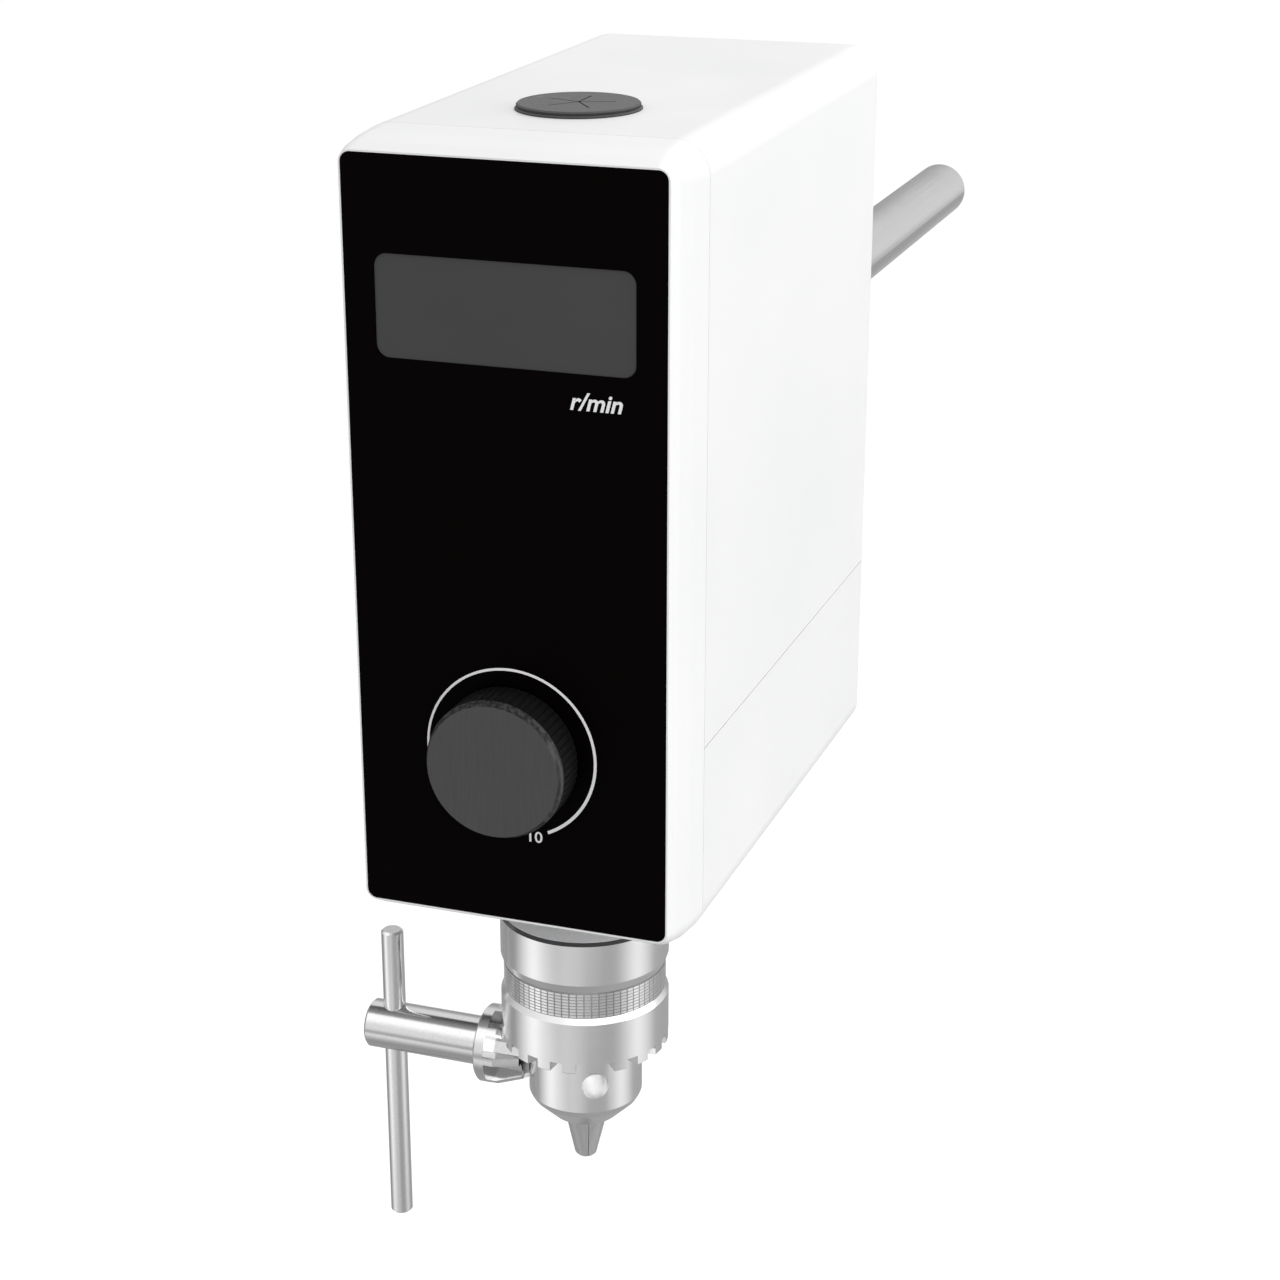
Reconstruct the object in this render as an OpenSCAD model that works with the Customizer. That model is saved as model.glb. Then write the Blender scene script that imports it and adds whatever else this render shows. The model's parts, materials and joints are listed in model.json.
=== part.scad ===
// Overhead stirrer for a laboratory stand, in millimetres.
// A boxed drive carries a display, a speed knob and a hollow belt-driven spindle.
// Under it hangs a three-jaw keyed chuck with its key, and a support rod leaves the back.
// +X is right and +Y is back as seen from the front, and +Z is up.
// The origin is where the support rod's axis leaves the rear face.

/* [Housing] */
// Width of the housing
body_w = 70; // [68:1:84]
// Depth from the face of the front panel to the rear face
body_d = 139; // [136:1:165]
// Height of the rear face
body_h = 164; // [162:1:180]
// Height of the support rod's axis above the lowest edge
rod_up = 90; // [88:1:96]
// Slope of the top and the bottom, in degrees
draft = 0.85; // [0:0.05:1.5]
// Wall thickness of the housing shells
wall = 3; // [2:0.1:3.6]
// Radius of the long edges
corner_r = 6.5; // [4:0.1:9]
// Height of the joint between the two shells above the lowest edge
split_up = 42.8; // [36:0.1:50]
// Depth of the front bezel
bezel_d = 15; // [12:0.5:18]
// Visible seam between neighbouring shells
seam = 0.2; // [0.1:0.05:0.4]
// Thickness of the rear cover
cover_t = 3; // [2:0.1:4]

/* [Front panel] */
// Width of the black front panel
panel_w = 64; // [62:0.5:66]
// Height of the black front panel
panel_h = 152.1; // [148:0.1:154]
// Height of the panel's middle above the lowest edge
panel_up = 82.9; // [82:0.1:84]
// Thickness of the panel
panel_t = 2; // [1.5:0.1:2.5]
// Corner radius of the panel
panel_r = 2; // [1:0.1:5]
// Width of the bezel's lip round the panel
lip = 0.45; // [0.3:0.05:1]
// Width of the display window
window_w = 52; // [46:0.5:53]
// Height of the display window
window_h = 20; // [16:0.5:26]
// Height of the window's middle above the panel's middle
window_up = 47.6; // [40:0.1:52]
// Corner radius of the window
window_r = 2.6; // [1:0.1:4]
// How far the window lies below the panel's face
window_sunk = 0.4; // [0.2:0.05:0.8]

/* [Speed knob] */
// Diameter of the knob
knob_d = 28.6; // [24:0.1:32]
// Length of the knob
knob_l = 9.6; // [8:0.1:14]
// Distance of the knob's axis below the panel's middle
knob_down = 40; // [36:0.5:46]
// Radial size of the bevel round the knob's face
knob_bevel = 0.75; // [0.4:0.05:1.2]
// Axial size of the bevel round the knob's face
knob_bevel_l = 1.5; // [0.8:0.1:2]
// Number of fine grooves round the knob
knob_grooves = 60; // [36:1:72]
// Gap between the knob and the panel
knob_gap = 0.4; // [0.3:0.1:1]

/* [Top grommet] */
// Diameter of the grommet's flange
grommet_d = 25; // [23:0.1:30]
// Height of the flange above the housing
grommet_t = 1.25; // [1:0.05:2]
// Number of slits that meet in the middle
slit_count = 5; // [3:1:8]
// Length of each slit from the middle
slit_l = 7.2; // [5:0.1:7.5]
// Width of each slit
slit_w = 0.35; // [0.3:0.05:0.8]

/* [Spindle and belt drive] */
// Distance of the spindle's axis behind the panel's face
spindle_in = 40.7; // [40:0.1:44]
// Bore through the spindle and the chuck
bore_d = 10.6; // [8:0.1:11]
// Diameter of the spindle at its bearings
spindle_d = 17; // [16:0.1:17.5]
// Diameter of the spindle's neck under the housing
neck_d = 20; // [18.5:0.1:22]
// Diameter of the spindle's nose inside the chuck
nose_seat_d = 14; // [13:0.1:14.2]
// Length of the nose inside the chuck
nose_seat_l = 9.4; // [7:0.1:9.6]
// Distance of the spindle's upper end below the housing's top
spindle_top_gap = 9; // [7:0.1:20]
// Outer diameter of each spindle bearing
bearing_d = 35; // [34:0.5:36]
// Width of each spindle bearing
bearing_w = 10; // [9:0.5:12]
// Number of balls in each bearing
ball_count = 10; // [7:1:11]
// Diameter of each ball
ball_d = 4.7; // [4:0.1:4.8]
// Outer diameter of the tube that holds the bearings
carrier_d = 42; // [40:0.1:43]
// Thickness of the deck that carries the drive
deck_t = 6; // [5:0.1:7]
// Height of the deck's underside above the rod's axis
deck_up = 10; // [9.6:0.1:12]
// Diameter of the pulley on the spindle
big_pulley_d = 44; // [40:0.1:48]
// Diameter of the pulley on the motor
small_pulley_d = 18; // [16:0.1:20]
// Face width of both pulleys
pulley_h = 14; // [12:0.5:15]
// Width of the belt
belt_w = 10; // [8:0.5:11]
// Thickness of the belt
belt_t = 2.2; // [1.5:0.1:3]
// How far the motor's can is set in behind the bearing carrier
motor_in = 2.3; // [1.8:0.1:3]
// Diameter of the motor's can
motor_d = 48; // [44:0.5:48]
// Length of the motor's can
motor_l = 66; // [55:1:70]
// Diameter of the motor's shaft
motor_shaft_d = 6; // [5:0.1:8]

/* [Chuck] */
// Diameter of the chuck's collar and sleeve
chuck_d = 36.8; // [36:0.1:40]
// Diameter of the chuck's knurled band
knurl_d = 35.4; // [34.6:0.1:35.8]
// Diameter of the chuck's lower body
lower_d = 25.1; // [24.6:0.1:25.6]
// Length of the chuck without its jaws
chuck_l = 50; // [49.8:0.1:52]
// Distance of the chuck's top below the housing's lowest edge
chuck_drop = 9.1; // [7:0.1:14]
// Height of the collar above the sleeve
collar_h = 10; // [9:0.1:10.6]
// Height of the taper between the collar and the sleeve
taper_h = 2; // [0.7:0.1:2.4]
// Height of the knurled band
knurl_h = 6; // [4:0.1:6.4]
// Number of rings in the knurled band
knurl_rings = 7; // [4:1:8]
// Height of the bevel under the knurled band
bevel_h = 1.3; // [1:0.1:2]
// Height of the sleeve's toothed skirt
skirt_h = 11.8; // [11:0.1:11.9]
// Number of teeth on the sleeve
sleeve_teeth = 20; // [20:1:20]
// Width of each notch between the sleeve's teeth
notch_w = 2.8; // [2.4:0.05:2.9]
// Diameter of the flat end of the nose
nose_d = 15; // [14.6:0.1:16]
// Diameter of each jaw
jaw_d = 6.8; // [6.4:0.1:7]
// Angle between a jaw and the chuck's axis, in degrees
jaw_angle = 14; // [13:0.1:14.5]
// How far the closed jaws stand out of the nose
jaw_out = 11.6; // [8:0.1:12]
// Radius of the closed jaws where they leave the nose
jaw_nose_r = 5.1; // [4.8:0.1:5.3]
// How far each jaw slides between closed and wide open
jaw_travel = 20.6; // [16:0.1:20.6]
// Pitch of the grooves on the jaws
jaw_pitch = 1.6; // [1.2:0.1:2.4]

/* [Chuck key] */
// Height of the key's axis above the end of the nose
key_up = 12.3; // [12.2:0.05:12.4]
// Diameter of the key's pilot
pilot_d = 5.9; // [5:0.1:6.2]
// Depth of the pilot holes in the chuck
pilot_hole_l = 5.2; // [4:0.1:5.6]
// Number of teeth on the key
key_teeth = 8; // [8:1:8]
// Diameter of the key's toothed head
key_head_d = 17.6; // [17.4:0.1:17.6]
// Diameter of the key's shank
key_shank_d = 11; // [9:0.1:12]
// Distance of the key's far end from the chuck's axis
key_reach = 51.7; // [48:0.1:60]
// Diameter of the sliding bar
bar_d = 5; // [4:0.1:6]
// Length of the sliding bar
bar_l = 72.8; // [60:0.1:80]
// Distance of the sliding bar from the key's far end
bar_in = 5.6; // [4:0.1:8]
// Length of bar that stands above the key's axis
bar_above = 24.4; // [18:0.1:36]

/* [Support rod] */
// Diameter of the support rod
rod_d = 16; // [12:0.1:16]
// Length of the rod behind the housing
rod_l = 229; // [120:1:300]
// Diameter of the rod's spigot inside the housing
spigot_d = 11; // [8:0.1:11.5]
// Length of the rod's spigot
spigot_l = 19; // [14:0.5:20]

/* [Mains side] */
// Width of the mains inlet's flange
inlet_w = 50; // [48:0.5:52]
// Height of the mains inlet's flange
inlet_h = 22.4; // [22:0.1:24]
// Distance of the inlet's middle below the rod's axis
inlet_down = 66; // [60:0.5:68]
// Width of the power switch's frame
switch_w = 21; // [20:0.5:23]
// Height of the power switch's frame
switch_h = 15; // [14:0.5:16]
// Distance of the switch's middle below the rod's axis
switch_down = 36; // [34:0.5:40]
// Number of ventilation slots in the rear cover
vent_count = 6; // [3:1:7]
// Width of each ventilation slot
vent_w = 36; // [20:1:40]

/* [Hidden] */
$fn = 72;
eps = 0.01;
far = 400;
// Clearances that recur: a sliding or running fit, a seated fit and a wider gap
run_fit = 0.05;
seat_fit = 0.02;
loose = 0.3;

// Places of the main faces and axes
z_top = body_h - rod_up;
z_bot = -rod_up;
z_split = z_bot + split_up;
y_face = -body_d;
y_seam = y_face + bezel_d;
y_sp = y_face + spindle_in;
y_mot = y_sp + carrier_d / 2 + motor_in + motor_d / 2;
z_panel = z_bot + panel_up;
z_win = z_panel + window_up;
z_knob = z_panel - knob_down;
function top_at(y) = z_top + y * tan(draft);
function bot_at(y) = z_bot - y * tan(draft);
cavity_w = body_w - 2 * wall;
y_cover = -cover_t;

// Front bezel and panel
ledge_w = 3.5;
ledge_t = 2;
bezel_wall = 3.8;
tongue_l = 4;
tongue_t = 1.6;
panel_gap = 0.1;
lens_flange_t = 1;
lens_flange_w = 1.8;
display_t = 8;
digit_count = 4;
digit_pitch = 12;
digit_w = 9;
digit_h = 14;
digit_sunk = 0.6;
y_board = y_face + panel_t + lens_flange_t + display_t;
board_t = 1.6;
board_gap = 1.5;
board_w = min(panel_w - 2 * ledge_w, body_w - 2 * bezel_wall) - 2 * board_gap;
pillar_r = 2.4;
pillar_x = board_w / 2 - 5;
pillar_top_z = z_win - window_h / 2 - lens_flange_w - pillar_r - loose;
pillar_low_z = z_knob - 10;
board_edge = 3.6;
board_top = z_win + window_h / 2 + lens_flange_w;
plug_w = 16;
plug_t = 2;
relay_w = 10;
relay_t = 6;

// Potentiometer and knob
pot_d = 16;
pot_shaft_d = 6;
bushing_d = 8;
bushing_out = 3.2;
pot_nut_d = 11.5;
pot_nut_t = 1.8;
knob_back = y_face - knob_gap;
knob_groove_r = 0.35;
knob_recess_d = 15;
knob_recess_l = 4;
pot_shaft_out = knob_gap + knob_l - 2;

// Width of the grommet's flange outside the housing's hole
grommet_flange_w = 2.6;

// Posts and screws
post_r = 4;
post_x = cavity_w / 2 - post_r - 0.3;
screw_r = 1.5;
screw_head_r = 2.9;
screw_head_h = 1.8;
boss_r = 3.5;
boss_x = cavity_w / 2 - boss_r - 1;
boss_l = 13;
boss_top_z = z_top - wall - 9;
boss_low_z = z_bot + wall + 9;
post_y = [y_seam + 12, -17];

// Drive deck
deck_z = deck_up;
deck_top = deck_z + deck_t;
deck_x = cavity_w / 2 - 0.5;
deck_front = max(y_sp - 22, y_seam + tongue_l + 0.5);
deck_bore_r = bearing_d / 2 - 2.5;
block_x = 20;
block_y = y_mot + motor_d / 2 + 3;
block_low = -rod_d;
boss_d = rod_d + 6;
lock_x = rod_d / 2;
lock_y = 2 - spigot_l;
lock_r = 2;
deck_screw_x = cavity_w / 2 - 3;
deck_screw_y = [y_sp - 14, y_mot + 17];
deck_head_r = 2.5;
deck_head_h = 2.4;
rail_w = 6;
rail_h = 5;
rail_l = 14;
rib_t = 3;
rib_h = 6;
rib_front = y_sp + 28;
rib_back = y_mot - 6;

// Spindle, bearings and pulleys
carrier_low = -80;
carrier_flange_t = 5;
carrier_boss_l = 18;
carrier_boss_r = bearing_d / 2 + 3.5;
shoulder_r = bearing_d / 2 - 2.6;
flange_half_x = cavity_w / 2 - 6.5;
flange_front = carrier_boss_r - 1;
flange_back = carrier_d / 2 + motor_in - 1.5;
carrier_screw_x = flange_half_x - 3.5;
carrier_screw_y = [y_sp - flange_front + 4, y_sp + flange_front - 4];
retainer_hole_r = 1;
retainer_hole_l = 1.2;
race_r = (spindle_d + bearing_d) / 4;
race_groove_r = ball_d / 2 + 0.07;
ring_gap = ball_d * 0.36;
retainer_t = 3;
pulley_z = deck_top + 4;
spindle_top = top_at(y_sp) - spindle_top_gap;
spindle_low = z_bot - chuck_drop;
neck_top = carrier_low - run_fit;
rib_pitch = 2.4;
rib_depth = 1.1;
belt_gap = 0.15;
belt_mid_z = pulley_z + pulley_h / 2;
nut_h = 6;
seal_d = 27;
seal_t = 1.4;

// Motor
bell_t = 8;
can_wall = 2;
motor_top = deck_z - bell_t;
motor_low = motor_top - motor_l;
spigot_lip_h = 3;
rotor_r = motor_d / 2 - can_wall - 4;
rotor_low = motor_low + 8;
rotor_l = motor_l - 20;
rotor_slots = 12;
rotor_slot_l = 4;
rotor_slot_w = 1.6;
motor_boss_r = motor_shaft_d / 2 + 6;
motor_screw_r = motor_d / 2 - 7;
motor_screw_l = 6;

// Power electronics
power_z = deck_top + 34;
power_w = cavity_w - 8;
power_front = y_sp + 13;
power_back = -11;
power_pillar_r = 3;
power_screw_x = power_w / 2 - 4;
power_screw_y = [power_front + 4, power_back - 4];
parts_z = power_z + board_t;
core_w = 22;
core_l = 18;
core_h = 12;
coil_w = 14;
coil_l = 23;
coil_h = 8;
core_x = -8;
core_y = power_back - 24;
can_count = 3;
can_r = 4.4;
can_h = 11;
can_pitch = 11;
can_x = -16;
can_y = power_front + 12;
sink_w = 12;
sink_l = 24;
sink_h = 12;
sink_base_t = 2;
fin_t = 1.6;
fin_pitch = 3.4;
fin_count = 4;
sink_x = power_w / 2 - 16;
sink_y = power_back - 36;

// Mains side
socket_w = 24.4;
socket_h = 16.6;
socket_l = 15.5;
inlet_body_w = 27;
inlet_body_h = 19.6;
inlet_t = 2.4;
inlet_screw_x = 20;
z_inlet = -inlet_down;
z_switch = -switch_down;
rocker_w = 15;
rocker_h = 10.4;
switch_body_l = 15;
switch_lip = 1.8;
rocker_angle = 11;
rocker_pivot_y = -3.4;
vent_pitch = 5.5;
vent_h = 2.4;
vent_z = top_at(0) - wall - 17;

// Chuck levels, from the top down
ch_top = z_bot - chuck_drop;
ch_r = chuck_d / 2;
knurl_r = knurl_d / 2;
lower_r = lower_d / 2;
collar_low = ch_top - collar_h;
collar_gap = 0.1;
taper_low = collar_low - taper_h;
sleeve_top = taper_low - collar_gap;
knurl_low = sleeve_top - knurl_h;
bevel_low = knurl_low - bevel_h;
tooth_tip = bevel_low - skirt_h;
z_nose = ch_top - chuck_l;
z_key = z_nose + key_up;
neck_r = 15.55;
sleeve_bore_r = neck_r + 2 * run_fit;
groove_top = bevel_low + 0.1;
groove_low = groove_top - 7.9;
nut_gap = 0.2;
skirt_bore_r = lower_r + 0.2;
skirt_step = groove_low + nut_gap / 2;
nose_cone_h = lower_r - nose_d / 2;
bore_r = bore_d / 2;

// Jaws: each is a cylinder that leans towards the chuck's axis as it goes down
jaw_r = jaw_d / 2;
jaw_bore_r = jaw_r + run_fit;
jaw_rho = jaw_nose_r - jaw_r / cos(jaw_angle);
function jaw_reach(z) = jaw_nose_r + (z - z_nose) * tan(jaw_angle);
jaw_top_s = 28;
jaw_bore_s = jaw_top_s + jaw_travel + 0.5;
jaw_tip_z = z_nose - jaw_out;
jaw_tip_r = 1.9;
jaw_tip_round = 0.8;
jaw_side_gap = 0.06;
grip_flat = 0.25;
thread_depth = 0.4;

// Sleeve teeth and key teeth mesh where the key's head reaches the sleeve's edge
key_r = key_head_d / 2;
tooth_inner_r = lower_r + 1.45;
key_slope = 0.36;
root_slope = 0.15;
notch_root = z_key + key_r;
notch_reach = 5;
key_tip_gap = 0.18;
function key_tip_r(x) = key_r - key_tip_gap - (ch_r - x) * key_slope;
key_front = lower_r + 0.75;
key_full_x = ch_r + key_tip_gap / key_slope;
key_flange_x = 21.1;
key_flange_t = 2.6;
key_root_r = 5.6;
key_tip_half = atan((notch_w / 2 - 0.55) / key_r);
key_root_half = key_tip_half + 4;
pilot_r = pilot_d / 2;
pilot_tip_x = lower_r - pilot_hole_l + 0.15;
pilot_stem_r = 2;
pilot_stem_l = 16;
bar_x = key_reach - bar_in;

module round_rect(w, h, r) {
    square([w - 2 * r, h], center = true);
    square([w, h - 2 * r], center = true);
    for (sx = [-1, 1], sy = [-1, 1])
        translate([sx * (w / 2 - r), sy * (h / 2 - r)])
            circle(r);
}

// A plate in the XZ plane whose front face lies at y
module upright(y, t) {
    translate([0, y + t, 0])
        rotate([90, 0, 0])
            linear_extrude(t)
                children();
}

module y_rod(x, z, r, y0, y1) {
    translate([x, y1, z])
        rotate([90, 0, 0])
            cylinder(r = r, h = y1 - y0);
}

module z_rod(x, y, r, z0, z1) {
    translate([x, y, z0])
        cylinder(r = r, h = z1 - z0);
}

module tube(r_out, r_in, h) {
    difference() {
        cylinder(r = r_out, h = h);
        translate([0, 0, -1])
            cylinder(r = r_in, h = h + 2);
    }
}

module box(x0, x1, y0, y1, z0, z1) {
    translate([x0, y0, z0])
        cube([x1 - x0, y1 - y0, z1 - z0]);
}

// Cross-section with its round-cornered edge at the top, for the sloping shells
module crown(w, r) {
    translate([-w / 2, -far])
        square([w, far - r]);
    translate([-(w / 2 - r), -far])
        square([w - 2 * r, far]);
    for (s = [-1, 1])
        translate([s * (w / 2 - r), -r])
            circle(r);
}

module upper_block(inset) {
    translate([0, 0, z_top])
        rotate([draft, 0, 0])
            translate([0, 20, -inset])
                rotate([90, 0, 0])
                    linear_extrude(body_d + 40)
                        crown(body_w - 2 * inset, corner_r - inset);
}

module lower_block(inset) {
    mirror([0, 0, 1])
        translate([0, 0, -z_bot])
            rotate([draft, 0, 0])
                translate([0, 20, -inset])
                    rotate([90, 0, 0])
                        linear_extrude(body_d + 40)
                            crown(body_w - 2 * inset, corner_r - inset);
}

// The inside of both shells, shrunk by a gap, between two values of y
module cavity(gap, y0, y1) {
    intersection() {
        upper_block(wall + gap);
        lower_block(wall + gap);
        box(-far, far, y0, y1, -far, far);
    }
}

// Column on both side walls, joined to the wall by a web
module side_boss(x, z, r, y0, y1) {
    for (s = [-1, 1]) {
        y_rod(s * x, z, r, y0, y1);
        box(min(s * x, s * (cavity_w / 2 + 1)), max(s * x, s * (cavity_w / 2 + 1)),
            y0, y1, z - r / 2, z + r / 2);
    }
}

module side_post(y, z0, z1) {
    for (s = [-1, 1]) {
        z_rod(s * post_x, y, post_r, z0, z1);
        box(min(s * post_x, s * (cavity_w / 2 + 1)), max(s * post_x, s * (cavity_w / 2 + 1)),
            y - post_r / 2, y + post_r / 2, z0, z1);
    }
}

module upper_housing() {
    color("whitesmoke")
        difference() {
            union() {
                difference() {
                    intersection() {
                        upper_block(0);
                        box(-far, far, y_seam + seam, 0, z_split + seam / 2, far);
                    }
                    intersection() {
                        upper_block(wall);
                        box(-far, far, -far, far, z_split - 1, far);
                    }
                }
                side_boss(boss_x, boss_top_z, boss_r, y_cover - boss_l, y_cover - seam);
                for (y = post_y)
                    side_post(y, z_split + seam / 2, z_split + 14);
                for (y = deck_screw_y, s = [-1, 1])
                    box(s * (cavity_w + 1 - rail_w) / 2 - (rail_w + 1) / 2,
                        s * (cavity_w + 1 - rail_w) / 2 + (rail_w + 1) / 2,
                        y - rail_l / 2, y + rail_l / 2, deck_z - rail_h, deck_z);
            }
            z_rod(0, y_sp, grommet_d / 2 - grommet_flange_w + run_fit,
                top_at(y_sp) - 12, top_at(y_sp) + 12);
            for (s = [-1, 1]) {
                y_rod(s * boss_x, boss_top_z, screw_r, y_cover - boss_l - 1, 1);
                for (y = post_y)
                    z_rod(s * post_x, y, screw_r, z_split - 1, z_split + 12);
                for (y = deck_screw_y)
                    z_rod(s * deck_screw_x, y, screw_r, deck_z - rail_h - 1, deck_z + 1);
            }
        }
}

module lower_housing() {
    color("whitesmoke")
        difference() {
            union() {
                difference() {
                    intersection() {
                        lower_block(0);
                        box(-far, far, y_seam + seam, 0, -far, z_split - seam / 2);
                    }
                    intersection() {
                        lower_block(wall);
                        box(-far, far, -far, far, -far, z_split + 1);
                    }
                }
                side_boss(boss_x, boss_low_z, boss_r, y_cover - boss_l, y_cover - seam);
                for (y = post_y)
                    side_post(y, bot_at(y) + wall / 2, z_split - seam / 2);
            }
            z_rod(0, y_sp, seal_d / 2 - 1.4, z_bot - 2, z_bot + 12);
            for (s = [-1, 1]) {
                y_rod(s * boss_x, boss_low_z, screw_r, y_cover - boss_l - 1, 1);
                for (y = post_y) {
                    z_rod(s * post_x, y, screw_r + 0.2, z_bot - 2, z_split + 1);
                    z_rod(s * post_x, y, screw_head_r + 0.2, z_bot - 2, bot_at(y) + 2.2);
                }
            }
        }
}

// One rounded slice of the bezel: a thin plate at y with its own size and corners
module bezel_slice(y, grow, r, inset) {
    w = body_w - 2 * (wall_in(y, grow) + inset);
    top = mix(top_at(y_seam), z_panel + panel_h / 2 + lip, grow) - inset;
    low = mix(bot_at(y_seam), z_panel - panel_h / 2 - lip, grow) + inset;
    translate([0, y, (top + low) / 2])
        rotate([90, 0, 0])
            linear_extrude(eps)
                round_rect(w, top - low, max(r - inset, 0.5), $fn = 48);
}

function mix(a, b, t) = a + (b - a) * t;
function wall_in(y, t) = mix(0, (body_w - panel_w) / 2 - lip, t);

module bezel_solid(inset, y0) {
    r_front = panel_r + lip;
    hull() {
        bezel_slice(y_seam, 0, corner_r, inset);
        bezel_slice(mix(y_seam, y_face, 0.45), 0.26, mix(corner_r, r_front, 0.3), inset);
        bezel_slice(mix(y_seam, y_face, 0.8), 0.62, mix(corner_r, r_front, 0.65), inset);
        bezel_slice(y0 + eps, 1, r_front, inset);
    }
}

module front_bezel() {
    color("white")
        difference() {
            union() {
                difference() {
                    bezel_solid(0, y_face);
                    bezel_solid(bezel_wall, y_face + panel_t + ledge_t);
                    translate([0, 0, z_panel])
                        upright(y_face - 1, panel_t + 1)
                            round_rect(panel_w + 2 * panel_gap, panel_h + 2 * panel_gap, panel_r);
                    translate([0, 0, z_panel])
                        upright(y_face - 1, panel_t + ledge_t + 2)
                            square([panel_w - 2 * ledge_w, panel_h - 2 * ledge_w], center = true);
                }
                difference() {
                    cavity(panel_gap, y_seam - 3, y_seam + tongue_l);
                    cavity(panel_gap + tongue_t, y_seam - 4, y_seam + tongue_l + 1);
                }
            }
            box(-far, far, y_seam - eps, y_seam + tongue_l + 1, z_split - 1, z_split + 1);
        }
}

module front_panel() {
    color("black")
        difference() {
            translate([0, 0, z_panel])
                upright(y_face, panel_t)
                    round_rect(panel_w, panel_h, panel_r);
            translate([0, 0, z_win])
                upright(y_face - 1, panel_t + 2)
                    round_rect(window_w, window_h, window_r);
            y_rod(0, z_knob, bushing_d / 2 + 0.1, y_face - 1, y_face + panel_t + 1);
        }
}

module display_window() {
    color([0.27, 0.27, 0.27]) {
        translate([0, 0, z_win])
            upright(y_face + window_sunk, panel_t - window_sunk + eps)
                round_rect(window_w - 2 * run_fit, window_h - 2 * run_fit, window_r);
        translate([0, 0, z_win])
            upright(y_face + panel_t, lens_flange_t)
                square([window_w + 2 * lens_flange_w, window_h + 2 * lens_flange_w], center = true);
    }
}

module display_module() {
    front = y_face + panel_t + lens_flange_t;
    color("dimgray")
        difference() {
            translate([0, 0, z_win])
                upright(front, display_t)
                    square([window_w - 2, window_h - 1], center = true);
            for (i = [0:digit_count - 1])
                translate([(i - (digit_count - 1) / 2) * digit_pitch, 0, z_win])
                    upright(front - 1, 1 + digit_sunk)
                        square([digit_w, digit_h], center = true);
        }
}

module control_board() {
    color("darkgreen")
        difference() {
            union() {
                box(-board_w / 2, board_w / 2, y_board, y_board + board_t,
                    pillar_low_z - board_edge, board_top);
                box(-plug_w / 2, plug_w / 2, y_board + board_t, y_board + board_t + plug_t,
                    z_panel - 6, z_panel + 10);
                box(-pillar_x, -pillar_x + relay_w, y_board + board_t, y_board + board_t + relay_t,
                    z_panel - 4, z_panel + 16);
            }
            for (s = [-1, 1], z = [pillar_low_z, pillar_top_z])
                y_rod(s * pillar_x, z, screw_r, y_board - 1, y_board + board_t + 1);
        }
}

module board_pillars() {
    color("gold")
        for (s = [-1, 1], z = [pillar_low_z, pillar_top_z])
            y_rod(s * pillar_x, z, pillar_r, y_face + panel_t, y_board);
}

module speed_potentiometer() {
    color("silver")
        difference() {
            union() {
                y_rod(0, z_knob, pot_d / 2, y_face + panel_t, y_board);
                y_rod(0, z_knob, bushing_d / 2, y_face - bushing_out, y_face + panel_t + eps);
            }
            y_rod(0, z_knob, pot_shaft_d / 2 + run_fit, y_face - bushing_out - 1, y_face + panel_t + 5);
        }
}

module potentiometer_nut() {
    color("silver")
        difference() {
            translate([0, y_face, z_knob])
                rotate([90, 0, 0])
                    cylinder(d = pot_nut_d, h = pot_nut_t, $fn = 6);
            y_rod(0, z_knob, bushing_d / 2 + seat_fit, y_face - 4, y_face + 1);
        }
}

module potentiometer_shaft() {
    color("gray")
        difference() {
            y_rod(0, z_knob, pot_shaft_d / 2, y_face - pot_shaft_out, y_face + panel_t + 4.5);
            box(-far, far, y_face - pot_shaft_out - 1, y_face - pot_shaft_out + 5,
                z_knob + pot_shaft_d / 2 - 1.4, z_knob + far);
        }
}

module speed_knob() {
    r = knob_d / 2;
    color([0.28, 0.28, 0.28])
        translate([0, knob_back, z_knob])
            rotate([90, 0, 0])
                difference() {
                    rotate_extrude()
                        polygon([
                            [0, 0], [r - 0.3, 0], [r, 0.5], [r, knob_l - knob_bevel_l],
                            [r - knob_bevel, knob_l], [0, knob_l]
                        ]);
                    for (i = [0:knob_grooves - 1])
                        rotate([0, 0, i * 360 / knob_grooves])
                            translate([r + 0.1, 0, -1])
                                cylinder(r = knob_groove_r, h = knob_l - knob_bevel_l + 0.6, $fn = 16);
                    translate([0, 0, -1])
                        cylinder(d = knob_recess_d, h = knob_recess_l + 1);
                    difference() {
                        translate([0, 0, -1])
                            cylinder(r = pot_shaft_d / 2 + seat_fit, h = knob_l + 1 - 1.8);
                        translate([-far / 2, pot_shaft_d / 2 - 1.38, 4.6])
                            cube([far, far, knob_l]);
                    }
                }
}

// The grommet stands square to the sloping top
module on_top() {
    translate([0, y_sp, top_at(y_sp)])
        rotate([draft, 0, 0])
            children();
}

module shaft_grommet() {
    r = grommet_d / 2;
    neck = r - grommet_flange_w;
    lip_r = r - 1.2;
    skin = 0.95;
    color([0.3, 0.3, 0.3])
        on_top()
            difference() {
                rotate_extrude()
                    polygon([
                        [0, grommet_t - skin], [neck - 1.6, grommet_t - skin],
                        [neck - 1.6, -wall - 1.4], [lip_r - 0.8, -wall - 1.4],
                        [lip_r, -wall - loose], [neck, -wall - loose], [neck, 0],
                        [r, 0], [r, 0.2], [r - 0.3, 0.45], [r - 0.3, grommet_t - 0.3],
                        [r - 0.6, grommet_t], [0, grommet_t]
                    ]);
                for (i = [0:slit_count - 1])
                    rotate([0, 0, 90 + i * 360 / slit_count])
                        translate([0, -slit_w / 2, -0.5])
                            cube([slit_l, slit_w, grommet_t + 1]);
            }
}

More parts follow.
